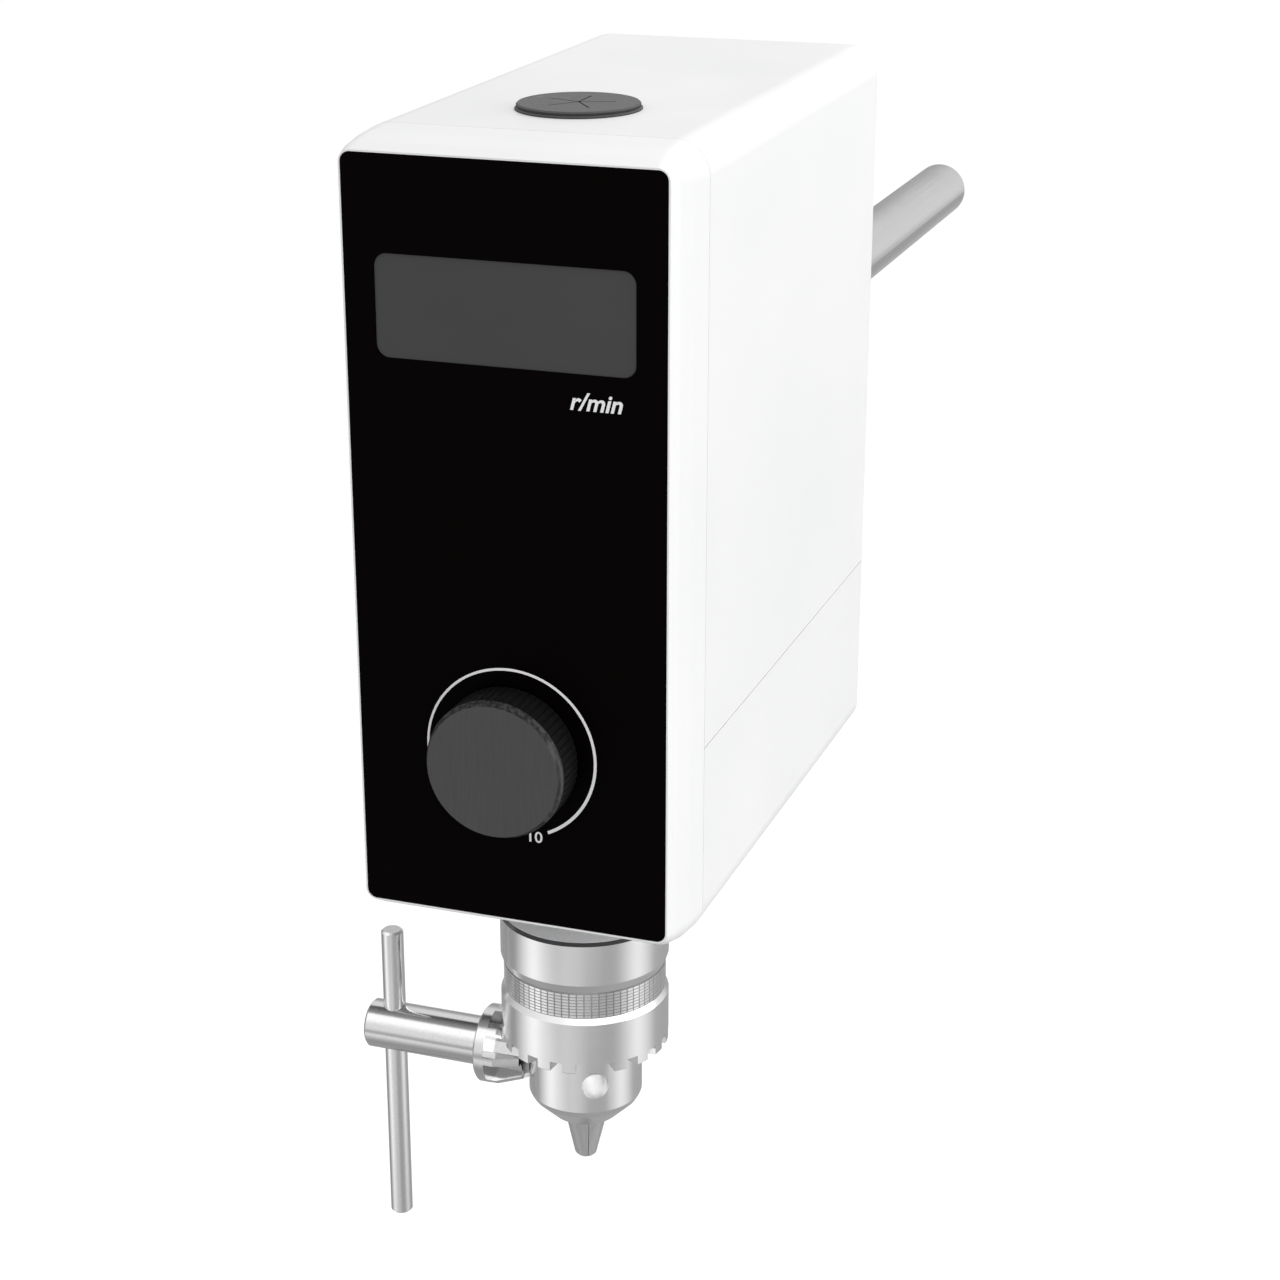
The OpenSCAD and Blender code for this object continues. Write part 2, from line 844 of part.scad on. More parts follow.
module rear_cover() {
    color("whitesmoke")
        difference() {
            cavity(seam, y_cover, 0);
            y_rod(0, 0, boss_d / 2 + loose, y_cover - 1, 1);
            translate([0, 0, z_inlet])
                upright(y_cover - 1, cover_t + 2)
                    square([inlet_body_w + 0.4, inlet_body_h + 0.4], center = true);
            for (s = [-1, 1])
                y_rod(s * inlet_screw_x, z_inlet, screw_r, y_cover - 1, 1);
            translate([0, 0, z_switch])
                upright(y_cover - 1, cover_t + 2)
                    square([switch_w - 1.6, switch_h - 1.6], center = true);
            for (s = [-1, 1], z = [boss_top_z, boss_low_z])
                y_rod(s * boss_x, z, screw_r + 0.2, y_cover - 1, 1);
            for (i = [0:vent_count - 1])
                translate([0, 0, vent_z - i * vent_pitch])
                    upright(y_cover - 1, cover_t + 2)
                        round_rect(vent_w, vent_h, vent_h / 2 - eps);
        }
}

// Pan-head screw along +Y whose head stands on the plane y
module rear_screw(x, z, y, l) {
    difference() {
        translate([x, y, z])
            rotate([-90, 0, 0])
                rotate_extrude()
                    polygon([
                        [0, -l], [screw_r - seat_fit, -l], [screw_r - seat_fit, 0], [screw_head_r, 0],
                        [screw_head_r, screw_head_h * 0.5], [screw_head_r * 0.6, screw_head_h],
                        [0, screw_head_h]
                    ]);
        translate([x, y + screw_head_h - 0.9, z])
            for (a = [0, 90])
                rotate([0, a, 0])
                    translate([-1.7, 0, -0.35])
                        cube([3.4, 2, 0.7]);
    }
}

module cover_screws() {
    color("silver")
        for (s = [-1, 1], z = [boss_top_z, boss_low_z])
            rear_screw(s * boss_x, z, 0, 12);
}

module bottom_screws() {
    color("silver")
        for (s = [-1, 1], y = post_y)
            translate([s * post_x, y, bot_at(y) + 2.2]) {
                cylinder(r = screw_r - seat_fit, h = z_split + 11 - bot_at(y) - 2.2);
                translate([0, 0, -1.7])
                    difference() {
                        cylinder(r = screw_head_r, h = 1.7);
                        translate([0, 0, -1])
                            cylinder(r = 1.3, h = 2, $fn = 6);
                    }
            }
}

module drive_deck() {
    color("silver")
        difference() {
            union() {
                box(-deck_x, deck_x, deck_front, y_cover - loose, deck_z, deck_top);
                box(-block_x, block_x, block_y, y_cover - loose, block_low, deck_top);
                y_rod(0, 0, boss_d / 2, y_cover - 1, 0);
                for (s = [-1, 1])
                    box(s * (deck_x - rib_t / 2) - rib_t / 2, s * (deck_x - rib_t / 2) + rib_t / 2,
                        rib_front, rib_back, deck_top - eps, deck_top + rib_h);
            }
            y_rod(0, 0, spigot_d / 2 + seat_fit, block_y - 1, 1);
            z_rod(0, y_sp, deck_bore_r, deck_z - 1, deck_top + 1);
            z_rod(0, y_mot, motor_boss_r + seat_fit, deck_z - 1, deck_top + 1);
            for (s = [-1, 1]) {
                for (y = deck_screw_y)
                    z_rod(s * deck_screw_x, y, screw_r + 0.1, deck_z - 1, deck_top + 1);
                for (y = carrier_screw_y)
                    z_rod(s * carrier_screw_x, y, screw_r, deck_z - 1, deck_top + 1);
                for (y = power_screw_y)
                    z_rod(s * power_screw_x, y, screw_r, deck_z - 1, deck_top + 1);
                z_rod(s * lock_x, lock_y, lock_r, block_low - 1, 0);
            }
            motor_screw_holes(deck_z - 1, deck_top + 1);
        }
}

// Four holes on a circle round the motor's axis
module motor_screw_holes(z0, z1) {
    for (a = [45:90:315])
        translate([0, y_mot, 0])
            rotate([0, 0, a])
                z_rod(motor_screw_r, 0, screw_r, z0, z1);
}

module deck_screws() {
    color("silver")
        for (s = [-1, 1], y = deck_screw_y)
            translate([s * deck_screw_x, y, deck_top]) {
                cylinder(r = deck_head_r, h = deck_head_h);
                translate([0, 0, -deck_t - rail_h + 1])
                    cylinder(r = screw_r - seat_fit, h = deck_t + rail_h);
            }
}

module bearing_carrier() {
    color("lightgray")
        difference() {
            union() {
                z_rod(0, y_sp, carrier_d / 2, carrier_low, deck_z);
                z_rod(0, y_sp, carrier_boss_r, carrier_low, carrier_low + carrier_boss_l);
                z_rod(0, y_sp, carrier_boss_r, deck_z - carrier_boss_l, deck_z);
                box(-flange_half_x, flange_half_x, y_sp - flange_front, y_sp + flange_back,
                    deck_z - carrier_flange_t, deck_z);
            }
            z_rod(0, y_sp, shoulder_r, carrier_low - 1, deck_z + 1);
            z_rod(0, y_sp, bearing_d / 2, deck_z - bearing_w, deck_z + 1);
            z_rod(0, y_sp, bearing_d / 2, carrier_low - 1, carrier_low + bearing_w);
            for (s = [-1, 1], y = carrier_screw_y)
                z_rod(s * carrier_screw_x, y, screw_r, deck_z - carrier_flange_t - 1, deck_z + 1);
        }
}

module bearing_retainer() {
    color("silver")
        translate([0, y_sp, carrier_low - retainer_t])
            difference() {
                tube(carrier_boss_r, shoulder_r, retainer_t - eps);
                for (a = [30, 150, 270])
                    rotate([0, 0, a])
                        translate([(carrier_boss_r + bearing_d / 2) / 2, 0, -1])
                            cylinder(r = retainer_hole_r, h = 1 + retainer_hole_l);
            }
}

module at_bearings() {
    for (z = [carrier_low, deck_z - bearing_w])
        translate([0, y_sp, z])
            children();
}

module race(r_in, r_out) {
    rotate_extrude()
        difference() {
            translate([r_in, 0])
                square([r_out - r_in, bearing_w]);
            translate([race_r, bearing_w / 2])
                circle(race_groove_r);
        }
}

module bearing_outer_rings() {
    color("silver")
        at_bearings()
            race(race_r + ring_gap, bearing_d / 2 - seat_fit);
}

module bearing_inner_rings() {
    color("silver")
        at_bearings()
            race(spindle_d / 2 + seat_fit, race_r - ring_gap);
}

module bearing_balls() {
    color("gainsboro")
        at_bearings()
            for (i = [0:ball_count - 1])
                rotate([0, 0, i * 360 / ball_count])
                    translate([race_r, 0, bearing_w / 2])
                        sphere(d = ball_d);
}

module spindle() {
    r = spindle_d / 2;
    color("lightgray")
        translate([0, y_sp, 0])
            rotate_extrude()
                polygon([
                    [bore_r, spindle_low - nose_seat_l], [nose_seat_d / 2, spindle_low - nose_seat_l],
                    [nose_seat_d / 2, spindle_low], [neck_d / 2, spindle_low],
                    [neck_d / 2, neck_top], [r, neck_top], [r, spindle_top - 0.6],
                    [r - 0.6, spindle_top], [bore_r + 0.6, spindle_top], [bore_r, spindle_top - 0.6]
                ]);
}

// Rim of a ribbed pulley: a cylinder with shallow V grooves
module ribbed_rim(r, hub_r) {
    grooves = floor((pulley_h - 3) / rib_pitch);
    first = (pulley_h - grooves * rib_pitch) / 2;
    rotate_extrude()
        polygon(concat(
            [[hub_r, 0], [r, 0]],
            [for (i = [0:grooves - 1], k = [0:2])
                [k == 1 ? r - rib_depth : r, first + (i + 0.2 + 0.3 * k) * rib_pitch]],
            [[r, pulley_h], [hub_r, pulley_h]]
        ));
}

module spindle_pulley() {
    r = big_pulley_d / 2;
    color("dimgray")
        translate([0, y_sp, pulley_z])
            difference() {
                ribbed_rim(r, spindle_d / 2 + seat_fit);
                for (i = [0:5])
                    rotate([0, 0, i * 60])
                        translate([r * 0.68, 0, -1])
                            cylinder(r = r * 0.17, h = pulley_h + 2);
            }
}

module spindle_nut() {
    color("silver")
        translate([0, y_sp, pulley_z + pulley_h]) {
            tube(spindle_d / 2 + 4, spindle_d / 2 + seat_fit, nut_h);
            translate([0, 0, deck_z - pulley_z - pulley_h])
                tube(spindle_d / 2 + 2.4, spindle_d / 2 + seat_fit, pulley_z - deck_z - eps);
        }
}

// Flat belt round both pulleys: two arcs and two straight runs that meet them
module drive_belt() {
    r1 = big_pulley_d / 2 + belt_gap;
    r2 = small_pulley_d / 2 + belt_gap;
    c = y_mot - y_sp;
    b = asin((r1 - r2) / c);
    run = c * cos(b);
    color([0.12, 0.12, 0.12])
        translate([0, 0, belt_mid_z - belt_w / 2]) {
            translate([0, y_sp, 0])
                rotate([0, 0, 180 - b])
                    rotate_extrude(angle = 180 + 2 * b)
                        translate([r1, 0])
                            square([belt_t, belt_w]);
            translate([0, y_mot, 0])
                rotate([0, 0, b])
                    rotate_extrude(angle = 180 - 2 * b)
                        translate([r2, 0])
                            square([belt_t, belt_w]);
            for (s = [0, 1])
                mirror([s, 0, 0])
                    translate([0, y_sp, 0])
                        rotate([0, 0, b])
                            translate([r1, 0, 0])
                                cube([belt_t, run, belt_w]);
        }
}

module motor_can() {
    color("darkgray")
        translate([0, y_mot, motor_low])
            difference() {
                cylinder(d = motor_d, h = motor_l);
                translate([0, 0, can_wall])
                    cylinder(d = motor_d - 2 * can_wall, h = motor_l);
                translate([0, 0, -1])
                    cylinder(r = motor_shaft_d / 2 + 0.6, h = can_wall + 2);
            }
}

module motor_end_bell() {
    color("silver")
        difference() {
            union() {
                z_rod(0, y_mot, motor_d / 2, motor_top, deck_z);
                z_rod(0, y_mot, motor_boss_r, motor_top, deck_top);
                z_rod(0, y_mot, motor_d / 2 - can_wall - seat_fit,
                    motor_top - spigot_lip_h, motor_top + eps);
            }
            z_rod(0, y_mot, motor_shaft_d / 2 + run_fit, motor_top - spigot_lip_h - 1, deck_top + 1);
            motor_screw_holes(deck_z - motor_screw_l, deck_z + 1);
        }
}

module motor_rotor() {
    color("peru")
        translate([0, y_mot, rotor_low])
            difference() {
                tube(rotor_r, motor_shaft_d / 2 + seat_fit, rotor_l);
                for (i = [0:rotor_slots - 1])
                    rotate([0, 0, i * 360 / rotor_slots])
                        translate([rotor_r - rotor_slot_l, -rotor_slot_w / 2, -1])
                            cube([rotor_slot_l + 1, rotor_slot_w, motor_l]);
            }
}

module motor_shaft() {
    color("silver")
        z_rod(0, y_mot, motor_shaft_d / 2, motor_low + can_wall + 1, pulley_z + pulley_h + 1);
}

module motor_pulley() {
    color("dimgray")
        translate([0, y_mot, pulley_z])
            ribbed_rim(small_pulley_d / 2, motor_shaft_d / 2 + seat_fit);
}

module power_board() {
    color("darkgreen")
        difference() {
            box(-power_w / 2, power_w / 2, power_front, power_back, power_z, parts_z);
            for (s = [-1, 1], y = power_screw_y)
                z_rod(s * power_screw_x, y, screw_r, power_z - 1, parts_z + 1);
        }
}

module power_board_pillars() {
    color("gold")
        for (s = [-1, 1], y = power_screw_y)
            z_rod(s * power_screw_x, y, power_pillar_r, deck_top, power_z);
}

module transformer() {
    color("khaki")
        translate([core_x, core_y, parts_z]) {
            translate([-core_w / 2, -core_l / 2, 0])
                cube([core_w, core_l, core_h]);
            translate([-coil_w / 2, -coil_l / 2, (core_h - coil_h) / 2])
                cube([coil_w, coil_l, coil_h]);
        }
}

module capacitors() {
    color("midnightblue")
        for (i = [0:can_count - 1])
            z_rod(can_x + i * can_pitch, can_y, can_r, parts_z, parts_z + can_h);
}

module heat_sink() {
    color("silver")
        translate([sink_x, sink_y, parts_z]) {
            cube([sink_w, sink_l, sink_base_t]);
            for (i = [0:fin_count - 1])
                translate([i * fin_pitch, 0, 0])
                    cube([fin_t, sink_l, sink_h]);
        }
}

module mains_inlet() {
    color([0.1, 0.1, 0.1])
        difference() {
            translate([0, 0, z_inlet]) {
                upright(0, inlet_t)
                    round_rect(inlet_w, inlet_h, 3);
                upright(-socket_l - 1.5, socket_l + 1.5 + eps)
                    square([inlet_body_w, inlet_body_h], center = true);
            }
            translate([0, 0, z_inlet])
                upright(-socket_l + inlet_t, socket_l + 1)
                    polygon([
                        [-socket_w / 2, -socket_h / 2], [socket_w / 2, -socket_h / 2],
                        [socket_w / 2, socket_h / 2 - 4], [socket_w / 2 - 4, socket_h / 2],
                        [4 - socket_w / 2, socket_h / 2], [-socket_w / 2, socket_h / 2 - 4]
                    ]);
            for (s = [-1, 1])
                y_rod(s * inlet_screw_x, z_inlet, screw_r + 0.2, -1, inlet_t + 1);
        }
}

module inlet_pins() {
    color("gold")
        for (p = [[-7, -2], [7, -2], [0, 2]])
            translate([p[0], 0, z_inlet + p[1]])
                upright(-socket_l + inlet_t, socket_l - 3)
                    square([2, 4], center = true);
}

module inlet_screws() {
    color("silver")
        for (s = [-1, 1])
            rear_screw(s * inlet_screw_x, z_inlet, inlet_t, 8);
}

module switch_frame() {
    color([0.1, 0.1, 0.1])
        difference() {
            translate([0, 0, z_switch]) {
                upright(0, switch_lip)
                    round_rect(switch_w, switch_h, 1.2);
                upright(-switch_body_l, switch_body_l + eps)
                    square([switch_w - 2, switch_h - 2], center = true);
            }
            translate([0, 0, z_switch])
                upright(-switch_body_l + 4, switch_body_l + 4)
                    square([rocker_w + 0.6, rocker_h + 0.6], center = true);
        }
}

// Rocker with a hollowed face, leaning to its off side at rest
module power_rocker() {
    half = rocker_w / 2;
    color([0.15, 0.15, 0.15])
        translate([0, rocker_pivot_y, z_switch])
            rotate([0, 0, -rocker_angle])
                translate([0, 0, -rocker_h / 2])
                    linear_extrude(rocker_h)
                        polygon([
                            [-half + 1.2, -3.2], [half - 1.2, -3.2], [half - 0.8, 4.2],
                            [half * 0.5, 3.5], [0, 3.3], [-half * 0.5, 3.5], [-half + 0.8, 4.2]
                        ]);
}

module support_rod() {
    r = rod_d / 2;
    color("silver")
        rotate([-90, 0, 0])
            rotate_extrude()
                polygon([
                    [0, -spigot_l], [spigot_d / 2 - 0.8, -spigot_l], [spigot_d / 2, 0.8 - spigot_l],
                    [spigot_d / 2, 0], [r, 0], [r, rod_l - 1], [r - 1, rod_l], [0, rod_l]
                ]);
}

module rod_lock_screws() {
    color("dimgray")
        for (s = [-1, 1])
            z_rod(s * lock_x, lock_y, lock_r - seat_fit, block_low, -spigot_d / 2);
}

module floor_seal() {
    color([0.15, 0.15, 0.15])
        translate([0, y_sp, bot_at(y_sp) + wall / cos(draft) + seat_fit])
            rotate([-draft, 0, 0])
                tube(seal_d / 2, neck_d / 2 + 0.5, seal_t);
}

module jaw_frame(i) {
    translate([0, y_sp, 0])
        rotate([0, 0, 120 * i])
            translate([jaw_rho, 0, z_nose])
                rotate([0, jaw_angle, 0])
                    children();
}

module chuck_body() {
    nose_start = z_nose + nose_cone_h;
    color("silver")
        difference() {
            translate([0, y_sp, 0])
                rotate_extrude()
                    polygon([
                        [bore_r, ch_top], [ch_r - 0.7, ch_top], [ch_r, ch_top - 0.7],
                        [ch_r, collar_low], [knurl_r, taper_low],
                        [neck_r, taper_low], [neck_r, groove_top],
                        [jaw_reach(groove_top) - 0.1, groove_top],
                        [jaw_reach(groove_low - nut_gap) - 0.1, groove_low - nut_gap],
                        [lower_r, groove_low - nut_gap], [lower_r, nose_start + 0.8],
                        [lower_r - 0.24, nose_start + 0.2], [lower_r - 0.8, nose_start - 0.8],
                        [nose_d / 2, z_nose], [bore_r, z_nose]
                    ]);
            z_rod(0, y_sp, nose_seat_d / 2 + seat_fit, spindle_low - nose_seat_l - seat_fit, ch_top + 1);
            for (i = [0:2]) {
                jaw_frame(i)
                    translate([0, 0, -6])
                        cylinder(r = jaw_bore_r, h = jaw_bore_s + 6);
                translate([0, y_sp, z_key])
                    rotate([0, 0, 60 + 120 * i])
                        rotate([0, 90, 0])
                            translate([0, 0, lower_r - pilot_hole_l])
                                cylinder(r = pilot_r + run_fit, h = far / 10);
            }
        }
}

// Inner profile heights of the sleeve's toothed edge at a radius
function tooth_z(r) = tooth_tip - (ch_r - r) * root_slope;
function notch_z(r) = notch_root - (ch_r - r) * key_slope;

module chuck_sleeve() {
    ring_pitch = (knurl_h - 0.8) / knurl_rings;
    color("silver")
        translate([0, y_sp, 0])
            difference() {
                rotate_extrude()
                    polygon(concat(
                        [[sleeve_bore_r, sleeve_top], [knurl_r - 0.3, sleeve_top]],
                        [for (i = [0:knurl_rings - 1], k = [0:2])
                            [k == 1 ? knurl_r - 0.22 : knurl_r,
                             sleeve_top - 0.5 - (i + 0.25 + 0.25 * k) * ring_pitch]],
                        [
                            [knurl_r, knurl_low], [ch_r, bevel_low], [ch_r, tooth_tip + 0.2],
                            [ch_r - 0.2, tooth_tip], [tooth_inner_r, tooth_z(tooth_inner_r)],
                            [skirt_bore_r, tooth_z(tooth_inner_r) + tooth_inner_r - skirt_bore_r],
                            [skirt_bore_r, skirt_step], [sleeve_bore_r, skirt_step]
                        ]
                    ));
                intersection() {
                    for (i = [0:sleeve_teeth - 1])
                        rotate([0, 0, 180 + i * 360 / sleeve_teeth])
                            box(lower_r - 2, ch_r + 2, -notch_w / 2, notch_w / 2,
                                tooth_tip - notch_reach, tooth_tip + notch_reach);
                    rotate_extrude()
                        polygon([
                            [0, tooth_tip - notch_reach], [ch_r + 3, tooth_tip - notch_reach],
                            [ch_r + 3, notch_z(ch_r + 3)], [0, notch_z(0)]
                        ]);
                }
            }
}

// Split nut between the sleeve and the jaws, in two halves
module jaw_nut() {
    low = groove_low + nut_gap / 2;
    top = groove_top - nut_gap;
    color("darkgray")
        translate([0, y_sp, 0])
            difference() {
                rotate_extrude()
                    polygon([
                        [jaw_reach(low) + 0.12, low], [sleeve_bore_r - seat_fit, low],
                        [sleeve_bore_r - seat_fit, top], [jaw_reach(top) + 0.12, top]
                    ]);
                box(-far, far, -0.1, 0.1, low - 1, top + 1);
            }
}

// One jaw: a leaning cylinder cut to its third of the circle, with a grooved back
module chuck_jaw(i) {
    tip_s = (jaw_out + 4) / cos(jaw_angle);
    apex = jaw_side_gap / sin(60);
    grooves = floor((jaw_top_s - 14) / jaw_pitch);
    color("gray")
        difference() {
            intersection() {
                jaw_frame(i)
                    translate([0, 0, -tip_s])
                        cylinder(r = jaw_r, h = tip_s + jaw_top_s);
                translate([0, y_sp, jaw_tip_z])
                    rotate([0, 0, 120 * i])
                        linear_extrude(far / 4)
                            polygon([
                                [grip_flat, -(grip_flat - apex) * tan(60)],
                                [grip_flat, (grip_flat - apex) * tan(60)],
                                [30, (30 - apex) * tan(60)], [30, -(30 - apex) * tan(60)]
                            ]);
                translate([0, y_sp, jaw_tip_z])
                    rotate_extrude()
                        polygon([
                            [0, 0], [jaw_tip_r, 0], [jaw_tip_r + jaw_tip_round, jaw_tip_round],
                            [30, 30], [30, 70], [0, 70]
                        ]);
            }
            for (k = [0:grooves - 1])
                jaw_frame(i)
                    translate([0, 0, jaw_top_s - 1.6 - k * jaw_pitch])
                        intersection() {
                            tube(jaw_r + 1, jaw_r - thread_depth, jaw_pitch * 0.45);
                            translate([0, -5, -1])
                                cube([10, 10, 4]);
                        }
        }
}

// A frame whose Z axis is the key's axis, pointing away from the chuck
module key_frame() {
    translate([0, y_sp, z_key])
        rotate([0, -90, 0])
            children();
}

module key_pilot_pin() {
    color("silver")
        key_frame()
            rotate_extrude()
                polygon([
                    [0, pilot_tip_x], [pilot_r - 0.6, pilot_tip_x], [pilot_r, pilot_tip_x + 0.6],
                    [pilot_r, key_front - 0.1], [pilot_stem_r, key_front - 0.1],
                    [pilot_stem_r, key_front + pilot_stem_l], [0, key_front + pilot_stem_l]
                ]);
}

module chuck_key() {
    slot_root = 180 / key_teeth - key_root_half;
    slot_tip = 180 / key_teeth - key_tip_half;
    out = key_r + 1;
    shank_r = key_shank_d / 2;
    flange_end = key_flange_x + key_flange_t;
    color("silver")
        difference() {
            key_frame()
                difference() {
                    rotate_extrude()
                        polygon([
                            [0, key_front], [key_tip_r(key_front), key_front], [key_r, key_full_x],
                            [key_r, flange_end - 0.4], [key_r - 0.4, flange_end],
                            [shank_r, flange_end], [shank_r, key_reach - 0.5],
                            [shank_r - 0.5, key_reach], [0, key_reach]
                        ]);
                    translate([0, 0, key_front - 1])
                        cylinder(r = pilot_stem_r + run_fit, h = pilot_stem_l + 1.2);
                    for (i = [0:key_teeth - 1])
                        rotate([0, 0, (i + 0.5) * 360 / key_teeth])
                            translate([0, 0, key_front - 1])
                                linear_extrude(key_flange_x - key_front + 1)
                                    polygon([
                                        [key_root_r * cos(slot_root), -key_root_r * sin(slot_root)],
                                        [out * cos(slot_tip), -out * sin(slot_tip)],
                                        [out + 2, 0],
                                        [out * cos(slot_tip), out * sin(slot_tip)],
                                        [key_root_r * cos(slot_root), key_root_r * sin(slot_root)]
                                    ]);
                }
            z_rod(-bar_x, y_sp, bar_d / 2 + run_fit, z_key - shank_r - 1, z_key + shank_r + 1);
        }
}

module key_bar() {
    r = bar_d / 2;
    color("silver")
        translate([-bar_x, y_sp, z_key + bar_above - bar_l])
            rotate_extrude()
                polygon([
                    [0, 0], [r - 0.5, 0], [r, 0.5], [r, bar_l - 0.5], [r - 0.5, bar_l], [0, bar_l]
                ]);
}

upper_housing();
lower_housing();
front_bezel();
front_panel();
display_window();
display_module();
control_board();
board_pillars();
speed_potentiometer();
potentiometer_nut();
potentiometer_shaft();
speed_knob();
shaft_grommet();
rear_cover();
cover_screws();
bottom_screws();
drive_deck();
deck_screws();
bearing_carrier();
bearing_retainer();
bearing_outer_rings();
bearing_balls();
bearing_inner_rings();
spindle();
spindle_pulley();
spindle_nut();
drive_belt();
motor_can();
motor_end_bell();
motor_rotor();
motor_shaft();
motor_pulley();
power_board();
power_board_pillars();
transformer();
capacitors();
heat_sink();
mains_inlet();
inlet_pins();
inlet_screws();
switch_frame();
power_rocker();
support_rod();
rod_lock_screws();
floor_seal();
chuck_body();
chuck_sleeve();
jaw_nut();
chuck_jaw(0);  // chuck_jaw_1
chuck_jaw(1);  // chuck_jaw_2
chuck_jaw(2);  // chuck_jaw_3
key_pilot_pin();
chuck_key();
key_bar();
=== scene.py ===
# %% [markdown]
# # An overhead stirrer, dressed for its picture
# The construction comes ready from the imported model: every shell, gear, jaw and screw is a solid
# of its own, in metres, with +Y along the support rod and +Z up. This script adds what the solids
# lack: the finish of each surface, the prints on the panel, the knurl on the chuck, the light and
# the camera. It reads nothing from disk but that model.

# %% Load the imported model
import json
import math

import bpy
from mathutils import Matrix, Vector


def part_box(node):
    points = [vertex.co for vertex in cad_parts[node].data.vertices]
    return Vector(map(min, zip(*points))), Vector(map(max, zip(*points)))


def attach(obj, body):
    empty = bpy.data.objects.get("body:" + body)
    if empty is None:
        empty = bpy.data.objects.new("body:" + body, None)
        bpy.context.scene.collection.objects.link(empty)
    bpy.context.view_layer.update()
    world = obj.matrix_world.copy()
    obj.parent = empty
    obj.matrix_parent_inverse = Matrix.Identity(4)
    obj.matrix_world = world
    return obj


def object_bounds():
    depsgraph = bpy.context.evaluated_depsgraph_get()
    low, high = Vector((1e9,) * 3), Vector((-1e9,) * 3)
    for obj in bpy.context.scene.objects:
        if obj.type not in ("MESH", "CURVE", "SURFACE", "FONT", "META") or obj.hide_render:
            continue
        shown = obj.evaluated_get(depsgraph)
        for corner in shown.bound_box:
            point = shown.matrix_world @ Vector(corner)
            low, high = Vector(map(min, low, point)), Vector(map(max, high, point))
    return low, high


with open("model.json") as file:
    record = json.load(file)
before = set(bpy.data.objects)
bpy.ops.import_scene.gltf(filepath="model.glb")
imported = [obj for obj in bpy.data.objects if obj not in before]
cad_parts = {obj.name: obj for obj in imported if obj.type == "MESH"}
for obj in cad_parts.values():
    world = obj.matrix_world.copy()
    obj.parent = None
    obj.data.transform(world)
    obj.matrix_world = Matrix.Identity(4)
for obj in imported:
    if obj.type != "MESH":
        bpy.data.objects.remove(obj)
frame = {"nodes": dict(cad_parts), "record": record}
cad_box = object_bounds()
MM = 0.001

# %% [markdown]
# ## The camera
# The picture was taken from the right of the front and a little above. The camera's place and its
# angles come from the vanishing points of the housing's edges, so straight edges of the model fall
# on the edges of the picture. One could also move a camera by hand until it looks right, but three
# measured angles leave nothing to judge by eye. They are in radians: down from level, to the left,
# and round the line of sight. The focal length goes with a sensor 36 mm wide.

# %% Camera
CAMERA_AT = Vector((176.322, -571.921, 149.762)) * MM
CAMERA_PITCH = 0.355039
CAMERA_YAW = 0.332633
CAMERA_ROLL = 0.001046
FOCAL_MM = 72.535
SENSOR_MM = 36
NEAREST = 0.01
FURTHEST = 100

camera_data = bpy.data.cameras.new("camera")
camera_data.sensor_width = SENSOR_MM
camera_data.lens = FOCAL_MM
camera_data.clip_start = NEAREST
camera_data.clip_end = FURTHEST
camera = bpy.data.objects.new("camera", camera_data)
bpy.context.scene.collection.objects.link(camera)
camera.matrix_world = (
    Matrix.Translation(CAMERA_AT)
    @ Matrix.Rotation(CAMERA_YAW, 4, "Z")
    @ Matrix.Rotation(math.pi / 2 - CAMERA_PITCH, 4, "X")
    @ Matrix.Rotation(CAMERA_ROLL, 4, "Z")
)
bpy.context.scene.camera = camera
print("camera at", [round(v, 3) for v in CAMERA_AT])

# %% [markdown]
# ## Writing shader maths as Python
# A material is a graph of nodes, and a long chain of Math nodes is hard to read as clicks or as
# calls. `Link` wraps one output socket, so that `1 - mask * 0.3` adds the two Math nodes it needs.
# `Graph` stands for one node tree, of a material or of the world, and its `node` method adds any
# other node: its type, its settings, and then the values or links of its sockets.


# %% Link and Graph
class Link:
    def __init__(self, graph, socket):
        self.graph = graph
        self.socket = socket

    def math(self, operation, first, second):
        return self.graph.node("ShaderNodeMath", {"operation": operation}, {0: first, 1: second})

    def __add__(self, other):
        return self.math("ADD", self, other)

    def __radd__(self, other):
        return self.math("ADD", other, self)

    def __sub__(self, other):
        return self.math("SUBTRACT", self, other)

    def __rsub__(self, other):
        return self.math("SUBTRACT", other, self)

    def __mul__(self, other):
        return self.math("MULTIPLY", self, other)

    def __rmul__(self, other):
        return self.math("MULTIPLY", other, self)

    def __gt__(self, other):
        return self.math("GREATER_THAN", self, other)


class Graph:
    def __init__(self, owner):
        owner.use_nodes = True
        self.tree = owner.node_tree

    def first(self, kind):
        """The node of that type that a new tree starts with."""
        return next(n for n in self.tree.nodes if n.type == kind)

    def connect(self, value, socket):
        """Link a Link to the socket, and set it to anything else."""
        if isinstance(value, Link):
            self.tree.links.new(value.socket, socket)
        else:
            socket.default_value = value

    def node(self, kind, settings=None, inputs=None, output=0):
        made = self.tree.nodes.new(kind)
        for label, value in (settings or {}).items():
            if label == "stops":
                self.set_stops(made.color_ramp, value)
            else:
                setattr(made, label, value)
        for label, value in (inputs or {}).items():
            self.connect(value, made.inputs[label])
        return Link(self, made.outputs[output])

    def along(self, axis, vector):
        """One of the vector's three parts."""
        return self.node("ShaderNodeSeparateXYZ", None, {0: vector}, output=axis)

    def set_stops(self, ramp, stops):
        while len(ramp.elements) < len(stops):
            ramp.elements.new(0.5)
        for element, (place, shade) in zip(ramp.elements, stops):
            element.position = place
            element.color = grey(shade)


def grey(level):
    return (level, level, level, 1)


